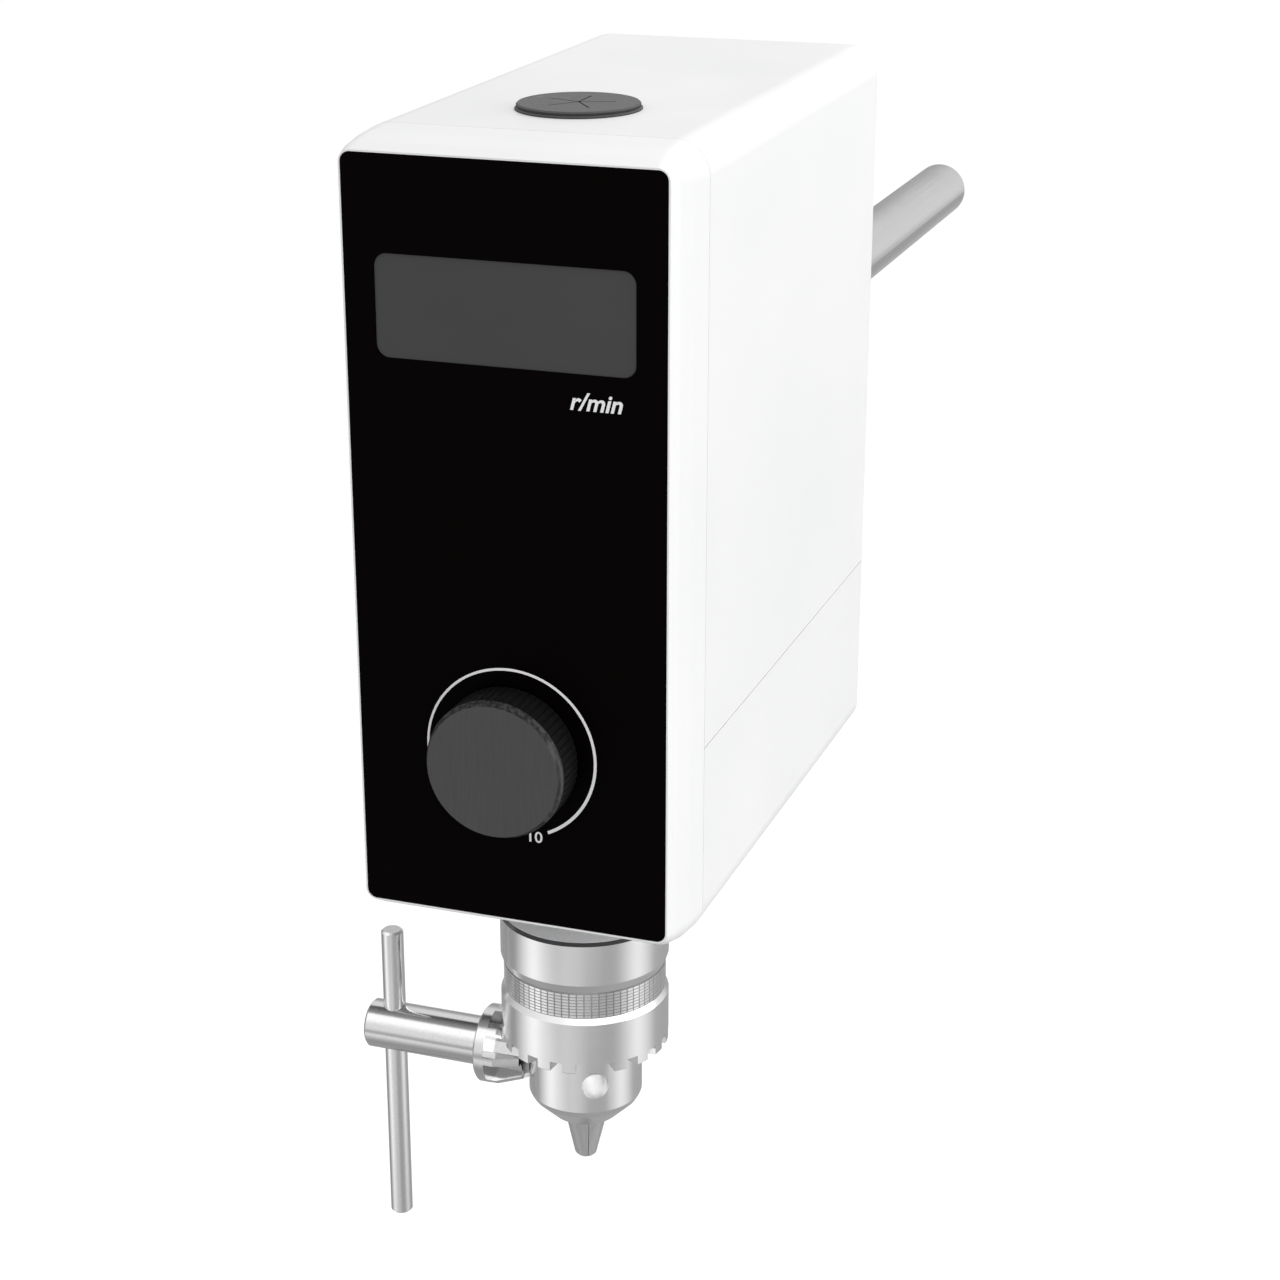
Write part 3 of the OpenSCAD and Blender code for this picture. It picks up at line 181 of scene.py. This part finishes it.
print("shader maths ready")

# %% [markdown]
# ## One class for every finish
# Each finish starts as a Principled shader with plain values. What varies over a surface, such as
# grain or lines, is noise at the surface's own place in metres, so no piece has to be unwrapped and
# the pattern has the same size on all of them. `feed` gives such a value to one of the shader's
# sockets, and `bump` turns it into relief.


# %% Finish
class Finish(Graph):
    def __init__(self, name, colour, roughness=0.5, metallic=0.0, **others):
        self.material = bpy.data.materials.new(name)
        super().__init__(self.material)
        self.shader = self.first("BSDF_PRINCIPLED")
        self.colour = colour
        self.feed("Base Color", colour)
        self.feed("Roughness", roughness)
        self.feed("Metallic", metallic)
        for label, value in others.items():
            self.feed(label.replace("_", " "), value)

    def feed(self, label, value):
        self.connect(value, self.shader.inputs[label])

    def place(self, scale=(1, 1, 1)):
        """The point on the surface in metres, scaled along the three axes."""
        point = self.node("ShaderNodeTexCoord", output="Object")
        return self.node("ShaderNodeVectorMath", {"operation": "MULTIPLY"}, {0: point, 1: scale})

    def noise(self, per_metre, scale=(1, 1, 1), detail=3.0, sharp=0.55):
        """Noise with about that many grains in a metre."""
        return self.node(
            "ShaderNodeTexNoise",
            None,
            {"Vector": self.place(scale), "Scale": per_metre, "Detail": detail, "Roughness": sharp},
        )

    def ramp(self, value, *stops):
        """Grey that runs through stops, each a value and its shade."""
        return self.node("ShaderNodeValToRGB", {"stops": stops}, {"Fac": value})

    def blend(self, amount, first, second):
        return self.node(
            "ShaderNodeMix", {"data_type": "RGBA"}, {0: amount, 6: first, 7: second}, output=2
        )

    def roughen(self, value, low, high, edges=(0.3, 0.7)):
        """Roughness from low to high, while the value runs from one edge to the other."""
        self.feed("Roughness", self.ramp(value, (edges[0], low), (edges[1], high)))

    def bump(self, height, depth, strength):
        """Relief of that depth in metres."""
        relief = {"Height": height, "Distance": depth, "Strength": strength}
        self.feed("Normal", self.node("ShaderNodeBump", None, relief))


print("finish tools ready")

# %% [markdown]
# ## White moulded housing
# The shells are pale plastic with a fine eroded grain, which breaks up the gloss without showing as
# a pattern. Two scales of noise do it: a fine one for the grain in the relief, and a broad, weak
# one in roughness and colour, so that a long highlight isn't perfectly even.


# %% White plastic
def moulded_white():
    finish = Finish("moulded_white", grey(0.87), 0.36, Specular_IOR_Level=0.45)
    grain = finish.noise(2600, detail=2)
    broad = finish.noise(24, detail=4)
    finish.roughen(broad, 0.33, 0.42)
    tint = finish.blend(broad, (0.86, 0.865, 0.87, 1), (0.885, 0.885, 0.88, 1))
    finish.feed("Base Color", tint)
    finish.bump(grain, 0.04 * MM, 0.25)
    return finish


white_plastic = moulded_white()
print("made", white_plastic.material.name)

# %% [markdown]
# ## The black panel, its window and its print
# The panel is a smooth film: nearly black, with a soft gloss. The window is the same film left
# clear over a dark display. Nothing is lit behind it, so a neutral grey that is a bit glossier does
# for it, and glass would only cost time. White ink lies on the film and is slightly rough.


# %% Panel finishes
def panel_film():
    finish = Finish("panel_film", (0.0014, 0.0008, 0.0007, 1), 0.3, Specular_IOR_Level=0.02)
    finish.roughen(finish.noise(60), 0.26, 0.36)
    finish.bump(finish.noise(4200, detail=1), 0.01 * MM, 0.2)
    return finish


def smoked_window():
    finish = Finish("smoked_window", grey(0.07), 0.16, Specular_IOR_Level=0.1)
    cloud = finish.noise(40, detail=2)
    finish.roughen(cloud, 0.13, 0.2)
    finish.feed("Base Color", finish.blend(cloud, grey(0.066), grey(0.072)))
    return finish


def white_ink():
    finish = Finish("white_ink", grey(0.9), 0.5)
    finish.roughen(finish.noise(900), 0.45, 0.6)
    return finish


film = panel_film()
window_plastic = smoked_window()
ink = white_ink()
print("made the panel's three finishes")

# %% [markdown]
# ## The knob
# The knob is one piece of dark plastic with three looks: a face brushed up and down, a scratched
# bevel round it, and a fluted side painted almost black, which is its dark plastic darkened further
# by painted shade in the flutes. Their borders lie at fixed depths, so one material can tell them
# apart by how far a point is behind the front. Noise drawn out along Z makes the fine upright
# streaks.

# %% Knob finish
knob_low, knob_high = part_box("speed_knob")
KNOB_FACE = knob_low.y + 0.03 * MM
KNOB_BEVEL = knob_low.y + 1.55 * MM
STREAKS_UP = (1, 1, 0.03)
SCRATCHES_UP = (1, 1, 0.05)


def brushed_knob():
    finish = Finish("brushed_knob", grey(0.08), 0.42, Specular_IOR_Level=0.12)
    streaks = finish.noise(4200, STREAKS_UP, sharp=0.6)
    scratches = finish.ramp(finish.noise(1300, SCRATCHES_UP, detail=2), (0.4, 0.0), (0.62, 1.0))
    depth = finish.along("Y", finish.place())
    face = finish.blend(streaks, (0.062, 0.062, 0.063, 1), (0.092, 0.092, 0.094, 1))
    bevel = finish.blend(scratches, grey(0.022), (0.07, 0.07, 0.071, 1))
    front = finish.blend(depth > KNOB_FACE, face, bevel)
    # The fluted side is painted near black: its dark plastic plus painted shade in the flutes.
    finish.feed("Base Color", finish.blend(depth > KNOB_BEVEL, front, grey(0.008)))
    finish.roughen(streaks, 0.34, 0.5)
    finish.bump(streaks, 0.02 * MM, 0.3)
    return finish


knob_plastic = brushed_knob()
print("made the knob's finish, with a bevel", round((KNOB_BEVEL - KNOB_FACE) / MM, 2), "mm deep")

# %% [markdown]
# ## Rubber
# The grommet and the belt have a dull skin with specks of pale dust. Their upright wall is painted
# darker than the top, as painted shade on faces that look sideways, so only the top keeps the
# rubber's own grey and its dust. The texture's normal says which way a surface faces, and its
# upward part blends from the wall's painted shade to the top's colour.

# %% Rubber finishes
DUST_TIMES = (1.8, 1.8, 1.75)
DUST_SHARE = 0.4


def dull_rubber(name, shade, painted_wall_shade):
    finish = Finish(name, grey(shade), 0.75, Specular_IOR_Level=0.3)
    skin = finish.noise(700, detail=5)
    dust = finish.ramp(finish.noise(260, detail=6), (0.62, 0.0), (0.75, 1.0))
    upward = finish.along("Z", finish.node("ShaderNodeTexCoord", output="Normal"))
    # The sideways wall gets painted shade: a darker grey only because it does not face up.
    top_vs_painted_shade = finish.ramp(upward, (0.3, 0.0), (0.9, 1.0))
    dusty = (*[shade * times for times in DUST_TIMES], 1)
    top = finish.blend(dust * DUST_SHARE, finish.colour, dusty)
    finish.feed("Base Color", finish.blend(top_vs_painted_shade, grey(painted_wall_shade), top))
    finish.roughen(skin, 0.68, 0.85)
    finish.bump(skin, 0.05 * MM, 0.35)
    return finish


grommet_rubber = dull_rubber("grommet_rubber", 0.118, 0.03)
belt_rubber = dull_rubber("belt_rubber", 0.02, 0.016)
print("made the rubber's finishes")

# %% [markdown]
# ## Metal with lines
# A lathe leaves rings round an axis, a drawn bar has lines along it, and a polished key has hardly
# any. One function makes them all from noise that is drawn out: a small scale along an axis makes
# lines along it, and a small scale along both X and Y leaves height alone to decide, which gives
# rings round Z. The lines show in colour, gloss and relief, and a slow cloud keeps the gloss from
# being the same everywhere.

# %% Lined metal
RINGS_ROUND_Z = (0.02, 0.02, 1)
LINES_ALONG_Y = (1, 0.01, 1)
LINES_ALONG_Z = (1, 1, 0.01)
NO_LINES = (1, 1, 1)
LINES_PER_METRE = 1400
CLOUDS_PER_METRE = 90
LINES_SHARE = 0.4
RELIEF_OF_LINES = 3


def lined_metal(name, shade, roughness, scale, depth, tint=(1, 1, 1), spread=0.06, lined=0.1):
    """Metal whose roughness varies by the spread, and whose colour varies by the share lined."""
    colour = [shade * t for t in tint]
    finish = Finish(name, (*colour, 1), roughness, 1.0)
    lines = finish.noise(LINES_PER_METRE, scale, sharp=0.6)
    cloud = finish.noise(CLOUDS_PER_METRE, detail=4)
    dark = (*[c * (1 - lined) for c in colour], 1)
    light = (*[min(1, c * (1 + lined)) for c in colour], 1)
    finish.tone = finish.blend(lines, dark, light)
    finish.feed("Base Color", finish.tone)
    patchy = lines * LINES_SHARE + cloud * (1 - LINES_SHARE)
    finish.roughen(patchy, roughness - spread, roughness + spread, edges=(0.35, 0.65))
    finish.bump(lines, depth, RELIEF_OF_LINES * lined)
    return finish


print("lines along or round an axis are ready")

# %% [markdown]
# ## The chuck's steel
# Sleeve and body are satin steel with faint rings. The body's flat top is another matter: it is
# sand-blasted, so it is pale and matt, inside a narrow chamfered rim painted dark as a painted
# reflection of dark surroundings. As on the knob, the height of a point tells the top and its rim
# from the rest.

# %% Chuck finishes
CHUCK_SHADE = 0.75
CHUCK_ROUGHNESS = 0.2
CHUCK_LINES = 0.02
CHUCK_DEPTH = 0.01 * MM
COLLAR_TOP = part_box("chuck_body")[1].z
COLLAR_SKIN = COLLAR_TOP - 0.03 * MM
COLLAR_RIM = COLLAR_TOP - 0.7 * MM


def satin_steel(name):
    return lined_metal(
        name,
        CHUCK_SHADE,
        CHUCK_ROUGHNESS,
        RINGS_ROUND_Z,
        CHUCK_DEPTH,
        spread=0.02,
        lined=CHUCK_LINES,
    )


def turned_body():
    finish = satin_steel("turned_body")
    height = finish.along("Z", finish.place())
    sand = finish.noise(3800, detail=2)
    blasted = finish.blend(sand, (0.6, 0.6, 0.61, 1), (0.95, 0.95, 0.96, 1))
    flat = height > COLLAR_SKIN
    # The 0.7 mm chamfer under the flat top is painted dark, a painted reflection of dark
    # surroundings.
    tone_and_painted_dark_rim = finish.blend(height > COLLAR_RIM, finish.tone, (0.12, 0.12, 0.125, 1))
    finish.feed("Base Color", finish.blend(flat, tone_and_painted_dark_rim, blasted))
    finish.feed("Metallic", 1 - flat)
    finish.roughen(flat, CHUCK_ROUGHNESS, 0.85, edges=(0.0, 1.0))
    return finish


chuck_metal = satin_steel("chuck_metal")
body_metal = turned_body()
print("the chuck's top is blasted above z =", round(COLLAR_SKIN, 5))

# %% [markdown]
# ## The other metals
# They differ in shade, in gloss and in their lines: the rod is drawn, the jaws are ground along
# their length, the key is polished, and the deck is cast. Brass and copper add a tint. The metal at
# the bottom of the knurl's grooves is painted dark, as painted shade, since hardly any light gets
# into so narrow a groove.

# %% Other metals
FINE = 0.01 * MM
COARSE = 0.02 * MM
BRASS_TINT = (1, 0.72, 0.36)
COPPER_TINT = (1, 0.5, 0.33)

# Darker metal for the painted shade at the bottom of the knurl's grooves.
groove_shade_metal = lined_metal("groove_shade_metal", 0.32, 0.4, RINGS_ROUND_Z, FINE)
spindle_metal = lined_metal("spindle_metal", 0.6, 0.24, RINGS_ROUND_Z, FINE)
rod_metal = lined_metal("rod_metal", 0.62, 0.26, LINES_ALONG_Y, FINE / 2, spread=0.02, lined=0.04)
key_metal = lined_metal("key_metal", 0.7, 0.13, NO_LINES, 0.004 * MM, spread=0.03)
jaw_metal = lined_metal("jaw_metal", 0.66, 0.3, LINES_ALONG_Z, COARSE, lined=0.06)
plated_metal = lined_metal("plated_metal", 0.55, 0.3, NO_LINES, FINE)
cast_metal = lined_metal("cast_metal", 0.62, 0.42, NO_LINES, 0.03 * MM)
pulley_metal = lined_metal("pulley_metal", 0.3, 0.4, RINGS_ROUND_Z, COARSE)
brass_metal = lined_metal("brass_metal", 0.75, 0.28, NO_LINES, FINE, BRASS_TINT)
copper_metal = lined_metal("copper_metal", 0.7, 0.35, RINGS_ROUND_Z, COARSE, COPPER_TINT)
print("made ten more metals")

# %% [markdown]
# ## What is inside
# The covers hide these, but they are finished too: circuit boards with a green lacquer over faint
# copper tracks, dark moulded parts, and the transformer's yellow tape. The tracks are the joints of
# a Brick Texture, which is simpler than a drawn layout and enough for a board that is rarely seen.


# %% Inner finishes
def green_board():
    finish = Finish("green_board", (0.02, 0.13, 0.05, 1), 0.3)
    tracks = finish.node(
        "ShaderNodeTexBrick",
        {"offset": 0.5},
        {"Vector": finish.place(), "Scale": 160.0, "Mortar Size": 0.04},
        output="Fac",
    )
    finish.feed("Base Color", finish.blend(tracks * 0.6, finish.colour, (0.06, 0.26, 0.1, 1)))
    finish.bump(tracks, 0.03 * MM, 0.4)
    return finish


def dark_plastic():
    finish = Finish("dark_plastic", grey(0.018), 0.38)
    finish.roughen(finish.noise(120), 0.32, 0.46)
    finish.bump(finish.noise(2400, detail=2), 0.03 * MM, 0.3)
    return finish


def yellow_tape():
    finish = Finish("yellow_tape", (0.6, 0.42, 0.05, 1), 0.3)
    turns = finish.noise(900, RINGS_ROUND_Z, detail=2)
    finish.feed("Base Color", finish.blend(turns, (0.5, 0.33, 0.03, 1), (0.68, 0.5, 0.08, 1)))
    finish.bump(turns, 0.05 * MM, 0.4)
    return finish


board_lacquer = green_board()
black_plastic = dark_plastic()
tape = yellow_tape()
print("made the inner finishes")

# %% [markdown]
# ## Give every solid its finish
# The record says which material slot each solid has, and the slot says what it is made of. One
# table from slot to finish therefore dresses all of them, also those that are added later. Two
# solids need a finish of their own: the rod's lines run along Y, and the chuck's body has its
# blasted top.

# %% Dress the solids
FINISH_OF_SLOT = {
    "housing_white": white_plastic,
    "panel_black": film,
    "window_grey": window_plastic,
    "knob_grey": knob_plastic,
    "grommet_rubber": grommet_rubber,
    "black_plastic": black_plastic,
    "belt_rubber": belt_rubber,
    "board_green": board_lacquer,
    "brass": brass_metal,
    "bright_steel": spindle_metal,
    "bearing_steel": spindle_metal,
    "screw_steel": plated_metal,
    "cast_aluminium": cast_metal,
    "pulley_alloy": pulley_metal,
    "motor_steel": plated_metal,
    "rotor_copper": copper_metal,
    "transformer_tape": tape,
    "chuck_steel": chuck_metal,
    "jaw_steel": jaw_metal,
    "key_chrome": key_metal,
}
FINISH_OF_NODE = {"support_rod": rod_metal, "chuck_body": body_metal}


def dress(piece, finish):
    piece.data.materials.clear()
    piece.data.materials.append(finish.material)


slot_of_node = {row["node"]: row["material_slot"] for row in frame["record"]["subparts"]}
for name, piece in frame["nodes"].items():
    dress(piece, FINISH_OF_NODE.get(name) or FINISH_OF_SLOT[slot_of_node[name]])
print("dressed", len(slot_of_node), "solids")

# %% [markdown]
# ## A way to make pieces from points
# Everything that is added is a mesh from computed points. `add_mesh` links it, shades it smooth
# except at real edges, gives it a finish, and lets it ride on the body that carries it.


# %% Mesh helper
def add_mesh(name, points, faces, finish, body, sharp=30):
    """Add a piece whose edges are sharp where two faces meet at more than that angle."""
    mesh = bpy.data.meshes.new(name)
    mesh.from_pydata([tuple(p) for p in points], [], faces)
    mesh.validate()
    mesh.shade_smooth()
    mesh.set_sharp_from_angle(angle=math.radians(sharp))
    piece = bpy.data.objects.new(name, mesh)
    bpy.context.scene.collection.objects.link(piece)
    dress(piece, finish)
    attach(piece, body)
    print("made", name, "with", len(faces), "faces")
    return piece


# %% [markdown]
# ## The sweep round the knob
# A white line runs round the knob and swells from its low end to its high end, so that a glance
# tells which way is faster. It could be a curve with a taper, but two rows of points at the inner
# and the outer edge say the same with less. Ink is very thin, so all print is flat and lies 0.02 mm
# in front of the film.

# %% Speed sweep
INK_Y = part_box("front_panel")[0].y - 0.02 * MM
knob_at = (knob_low + knob_high) / 2
SWEEP_R = 17.6 * MM
SWEEP_THIN = 0.42 * MM
SWEEP_THICK = 0.66 * MM
SWEEP_START = math.radians(245)
SWEEP_TURN = math.radians(309.6)
SWEEP_STEPS = 96


def speed_sweep():
    points = []
    for i in range(SWEEP_STEPS + 1):
        share = i / SWEEP_STEPS
        angle = SWEEP_START - SWEEP_TURN * share
        half = (SWEEP_THIN + (SWEEP_THICK - SWEEP_THIN) * share) / 2
        for radius in (SWEEP_R - half, SWEEP_R + half):
            x = radius * math.cos(angle)
            z = knob_at.z + radius * math.sin(angle)
            points.append((x, INK_Y, z))
    faces = [(2 * i, 2 * i + 2, 2 * i + 3, 2 * i + 1) for i in range(SWEEP_STEPS)]
    return add_mesh("speed_sweep", points, faces, ink, "housing")


speed_sweep()

# %% [markdown]
# ## Unit and figures
# A unit stands under the window, and plain figures stand at the two ends of the sweep. Text comes
# from Blender's own font as a curve. It is turned into a mesh and squeezed into a given width and
# height, because print on a real panel is drawn to fit its place, and then stood up in front of the
# film.

# %% Unit and figures
LETTER_STEPS = 4
UNIT_X = (13.0 * MM, 23.4 * MM)
UNIT_Z = 23.7 * MM
UNIT_H = 3.5 * MM
UNIT_SLANT = 0.25
UNIT_WEIGHT = 0.02
LOW_X = (-4.9 * MM, -3.3 * MM)
HIGH_X = (3.6 * MM, 6.4 * MM)
FIGURE_Z = knob_at.z - 18.4 * MM
FIGURE_H = 2.4 * MM
FIGURE_WEIGHT = 0.012


def letters(words, slant, weight):
    """A flat mesh of the words, in the XY plane and in the font's own size."""
    curve = bpy.data.curves.new(words, "FONT")
    curve.body = words
    curve.shear = slant
    curve.offset = weight
    curve.resolution_u = LETTER_STEPS
    draft = bpy.data.objects.new(words, curve)
    bpy.context.scene.collection.objects.link(draft)
    bpy.context.view_layer.update()
    shown = draft.evaluated_get(bpy.context.evaluated_depsgraph_get())
    mesh = bpy.data.meshes.new_from_object(shown)
    bpy.data.objects.remove(draft)
    return mesh


def printed(name, words, between, base, tall, slant=0.0, weight=FIGURE_WEIGHT):
    """Words as tall as given, whose left and right ends lie at two values of x."""
    mesh = letters(words, slant, weight)
    xs = [v.co.x for v in mesh.vertices]
    ys = [v.co.y for v in mesh.vertices]
    left, right = between
    squeeze = (right - left) / (max(xs) - min(xs))
    lift = tall / (max(ys) - min(ys))
    points = [
        (left + (x - min(xs)) * squeeze, INK_Y, base + (y - min(ys)) * lift) for x, y in zip(xs, ys)
    ]
    faces = [tuple(p.vertices) for p in mesh.polygons]
    bpy.data.meshes.remove(mesh)
    return add_mesh(name, points, faces, ink, "housing")


printed("unit_mark", "r/min", UNIT_X, UNIT_Z, UNIT_H, UNIT_SLANT, UNIT_WEIGHT)
printed("figure_low", "0", LOW_X, FIGURE_Z, FIGURE_H)
printed("figure_high", "10", HIGH_X, FIGURE_Z, FIGURE_H)

# %% [markdown]
# ## The knurled band
# Fingers turn the chuck's sleeve by a band of fine tiles, cut by rings and by upright grooves. A
# texture could fake them, but their edges catch the light one by one, so each is a thin curved
# plate, and all are one mesh. A plate has six points at its root and six at its face, which is
# smaller, so its sides slope as cut ones do.

# %% Knurled band
sleeve_low, sleeve_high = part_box("chuck_sleeve")
CHUCK_Y = (sleeve_low.y + sleeve_high.y) / 2
BAND_R = 17.7 * MM
BAND_H = 6.0 * MM
BAND_TOP_GAP = 0.2 * MM
BAND_LOW_GAP = 0.1 * MM
TILE_ROWS = 8
TILE_COLUMNS = 69
TILE_OUT = 0.05 * MM
TILE_ROOT = 0.05 * MM
TILE_SHARE = 0.86
TILE_RISE = 0.76
TILE_SLOPE = 0.03
TILE_POINTS = ((-1, -1), (0, -1), (1, -1), (1, 1), (0, 1), (-1, 1))
TILE_LAYERS = (
    (BAND_R - TILE_ROOT, TILE_SHARE / 2),
    (BAND_R + TILE_OUT, TILE_SHARE / 2 - TILE_SLOPE),
)
column_turn = 2 * math.pi / TILE_COLUMNS
row_height = (BAND_H - BAND_TOP_GAP - BAND_LOW_GAP) / TILE_ROWS


def on_sleeve(radius, angle, z):
    return (radius * math.cos(angle), CHUCK_Y + radius * math.sin(angle), z)


def tile_points(column, z):
    """The plate's points: half is the half width as a share of a column."""
    points = []
    for radius, half in TILE_LAYERS:
        for side, up in TILE_POINTS:
            angle = (column + side * half) * column_turn
            height = z + up * half * TILE_RISE / TILE_SHARE * row_height
            points.append(on_sleeve(radius, angle, height))
    return points


def tile_faces(start):
    """Two quads for the face, and six for the sides."""
    faces = [(start + 6, start + 7, start + 10, start + 11)]
    faces.append((start + 7, start + 8, start + 9, start + 10))
    for i in range(6):
        j = (i + 1) % 6
        faces.append((start + i, start + j, start + 6 + j, start + 6 + i))
    return faces


def knurled_band():
    points, faces = [], []
    for row in range(TILE_ROWS):
        z = sleeve_high.z - BAND_TOP_GAP - (row + 0.5) * row_height
        for column in range(TILE_COLUMNS):
            faces += tile_faces(len(points))
            points += tile_points(column, z)
    return add_mesh("knurled_band", points, faces, chuck_metal, "sleeve", sharp=20)


knurled_band()

# %% [markdown]
# ## Painted shade at the bottom of the grooves
# Hardly any light gets into a groove this narrow, so what shows between the tiles is dark. A tube
# of darker metal just outside the sleeve paints that shade, at a radius between the tiles' roots
# and their faces.

# %% Knurl ground
GROUND_R = BAND_R + 0.012 * MM
GROUND_LOW = sleeve_high.z - BAND_H
GROUND_HIGH = sleeve_high.z + 0.05 * MM


# A dark tube as painted shade between the knurl's tiles.
def painted_groove_shade():
    """A ring of upright strips, two for each column of tiles."""
    points = []
    for strip in range(2 * TILE_COLUMNS):
        for z in (GROUND_LOW, GROUND_HIGH):
            points.append(on_sleeve(GROUND_R, strip * column_turn / 2, z))
    count = len(points)
    faces = [(i, (i + 2) % count, (i + 3) % count, i + 1) for i in range(0, count, 2)]
    return add_mesh("painted_groove_shade", points, faces, groove_shade_metal, "sleeve")


painted_groove_shade()

# %% [markdown]
# ## The floor
# The stirrer hangs by its rod, so the floor lies well below it. The picture has a plain white
# ground: the floor's own grey and a glow that only the camera sees add up to white, without more
# light on the object. Steel looks like steel only when it has something to mirror, and the chuck's
# upright walls mirror the floor. To glossy rays the floor therefore glows in a few soft patches,
# as if papers lay there, and they become the light bands on the chuck and the rod. Each patch has
# its centre, its reach in metres and its strength.

# %% Floor
FLOOR_DROP = 0.42
FLOOR_HALF = 9.0
FLOOR_GREY = 0.36
FLOOR_ROUGHNESS = 0.9
FLOOR_SEEN = 0.7
FLOOR_PATCHES = (
    ((-0.74, -0.64), 0.6, 0.95),
    ((0.9, 0.0), 0.55, 0.6),
    ((-0.1, -0.95), 0.5, 0.38),
    ((-2.4, -5.0), 5.0, 0.7),
    ((-0.9, 2.2), 1.3, 0.7),
    ((2.0, 6.5), 5.0, 0.6),
)
PATCH_CORE = 0.1
floor_z = cad_box[0].z - FLOOR_DROP


def soft_patch(finish, centre, reach):
    """1 round the centre, falling to 0 at that distance from it."""
    ends = {0: finish.place(), 1: centre}
    far = finish.node("ShaderNodeVectorMath", {"operation": "DISTANCE"}, ends, output=1)
    return finish.ramp(far * (1 / reach), (PATCH_CORE, 1.0), (1.0, 0.0))


def floor_finish():
    finish = Finish("pale_floor", grey(FLOOR_GREY), FLOOR_ROUGHNESS, Emission_Strength=1.0)
    seen = finish.node("ShaderNodeLightPath", output="Is Camera Ray")
    mirrored = finish.node("ShaderNodeLightPath", output="Is Glossy Ray")
    through = finish.node("ShaderNodeLightPath", output="Is Transmission Ray")
    glow = 0.0
    for (x, y), reach, gain in FLOOR_PATCHES:
        glow = soft_patch(finish, (x, y, floor_z), reach) * gain + glow
    finish.feed("Emission Color", (seen + through) * FLOOR_SEEN + mirrored * glow)
    return finish


def pale_floor():
    mesh = bpy.data.meshes.new("floor")
    corners = [(-1, -1), (1, -1), (1, 1), (-1, 1)]
    points = [(x * FLOOR_HALF, y * FLOOR_HALF, floor_z) for x, y in corners]
    mesh.from_pydata(points, [], [(0, 1, 2, 3)])
    floor = bpy.data.objects.new("floor", mesh)
    bpy.context.scene.collection.objects.link(floor)
    dress(floor, floor_finish())
    return floor


pale_floor()
print("floor at", round(floor_z, 3))

# %% [markdown]
# ## The world
# The world shows white to the camera and fills the shadows evenly, a little weaker. What metal
# mirrors in it is a third thing: a studio that grows lighter to the right, to the front and above,
# with a dark patch straight overhead that draws the dark line along the key. Each of these is one
# smooth rise along an axis of the ray's direction, and they are added up: the table gives the axis,
# where the rise starts and ends on it, and its height.

# %% World
WORLD_FILL = 0.76
WORLD_MIRRORED = 0.42
WORLD_RISES = (
    ("X", -0.3, 0.5, 0.55),
    ("Y", 0.6, -0.7, 0.55),
    ("Z", 0.2, 0.7, 0.5),
    ("Z", 0.83, 0.89, -0.95),
)


def mirrored_world(graph):
    direction = graph.node("ShaderNodeTexCoord", output="Generated")
    total = WORLD_MIRRORED
    for axis, start, end, rise in WORLD_RISES:
        part = graph.along(axis, direction)
        total = total + graph.node(
            "ShaderNodeMapRange",
            {"interpolation_type": "SMOOTHSTEP"},
            {"Value": part, "From Min": start, "From Max": end, "To Min": 0.0, "To Max": rise},
        )
    return total


def white_world():
    world = bpy.data.worlds.new("world")
    bpy.context.scene.world = world
    graph = Graph(world)
    strength = WORLD_FILL
    shown = {
        "Is Glossy Ray": mirrored_world(graph),
        "Is Transmission Ray": 1.0,
        "Is Camera Ray": 1.0,
    }
    for ray, value in shown.items():
        chosen = graph.node("ShaderNodeLightPath", output=ray)
        strength = graph.node("ShaderNodeMix", None, {0: chosen, 2: strength, 3: value})
    background = graph.first("BACKGROUND")
    graph.connect(grey(1), background.inputs["Color"])
    graph.connect(strength, background.inputs["Strength"])


white_world()
print("the world fills at", WORLD_FILL)

# %% [markdown]
# ## The lamps
# Three large, soft lamps model the white housing: one from the right for its long side, one from
# above and behind for its top, and a weak one from low in front for the bezel and the chuck. They
# are as strong as the white plastic can take without turning to plain white. Each entry is a
# lamp's place, its two sizes in metres, and its power in watts.

# %% Lamps
LAMP_AIM = Vector((0, -0.07, -0.02))
LAMPS = {
    "right_lamp": ((1.45, 0.15, 0.1), (1.2, 1.0), 10.8),
    "back_lamp": ((0.1, 1.0, 1.5), (1.2, 1.2), 12.5),
    "front_lamp": ((0.6, -1.5, -0.15), (0.9, 0.9), 4.6),
}


def soft_lamp(name, place, sizes, power):
    lamp_data = bpy.data.lights.new(name, "AREA")
    lamp_data.shape = "RECTANGLE"
    lamp_data.size, lamp_data.size_y = sizes
    lamp_data.energy = power
    lamp = bpy.data.objects.new(name, lamp_data)
    bpy.context.scene.collection.objects.link(lamp)
    lamp.location = place
    lamp.rotation_mode = "QUATERNION"
    lamp.rotation_quaternion = (LAMP_AIM - Vector(place)).to_track_quat("-Z", "Y")


for name, (place, sizes, power) in LAMPS.items():
    soft_lamp(name, place, sizes, power)
bpy.context.scene.view_settings.view_transform = "Standard"
print("set", len(LAMPS), "lamps")
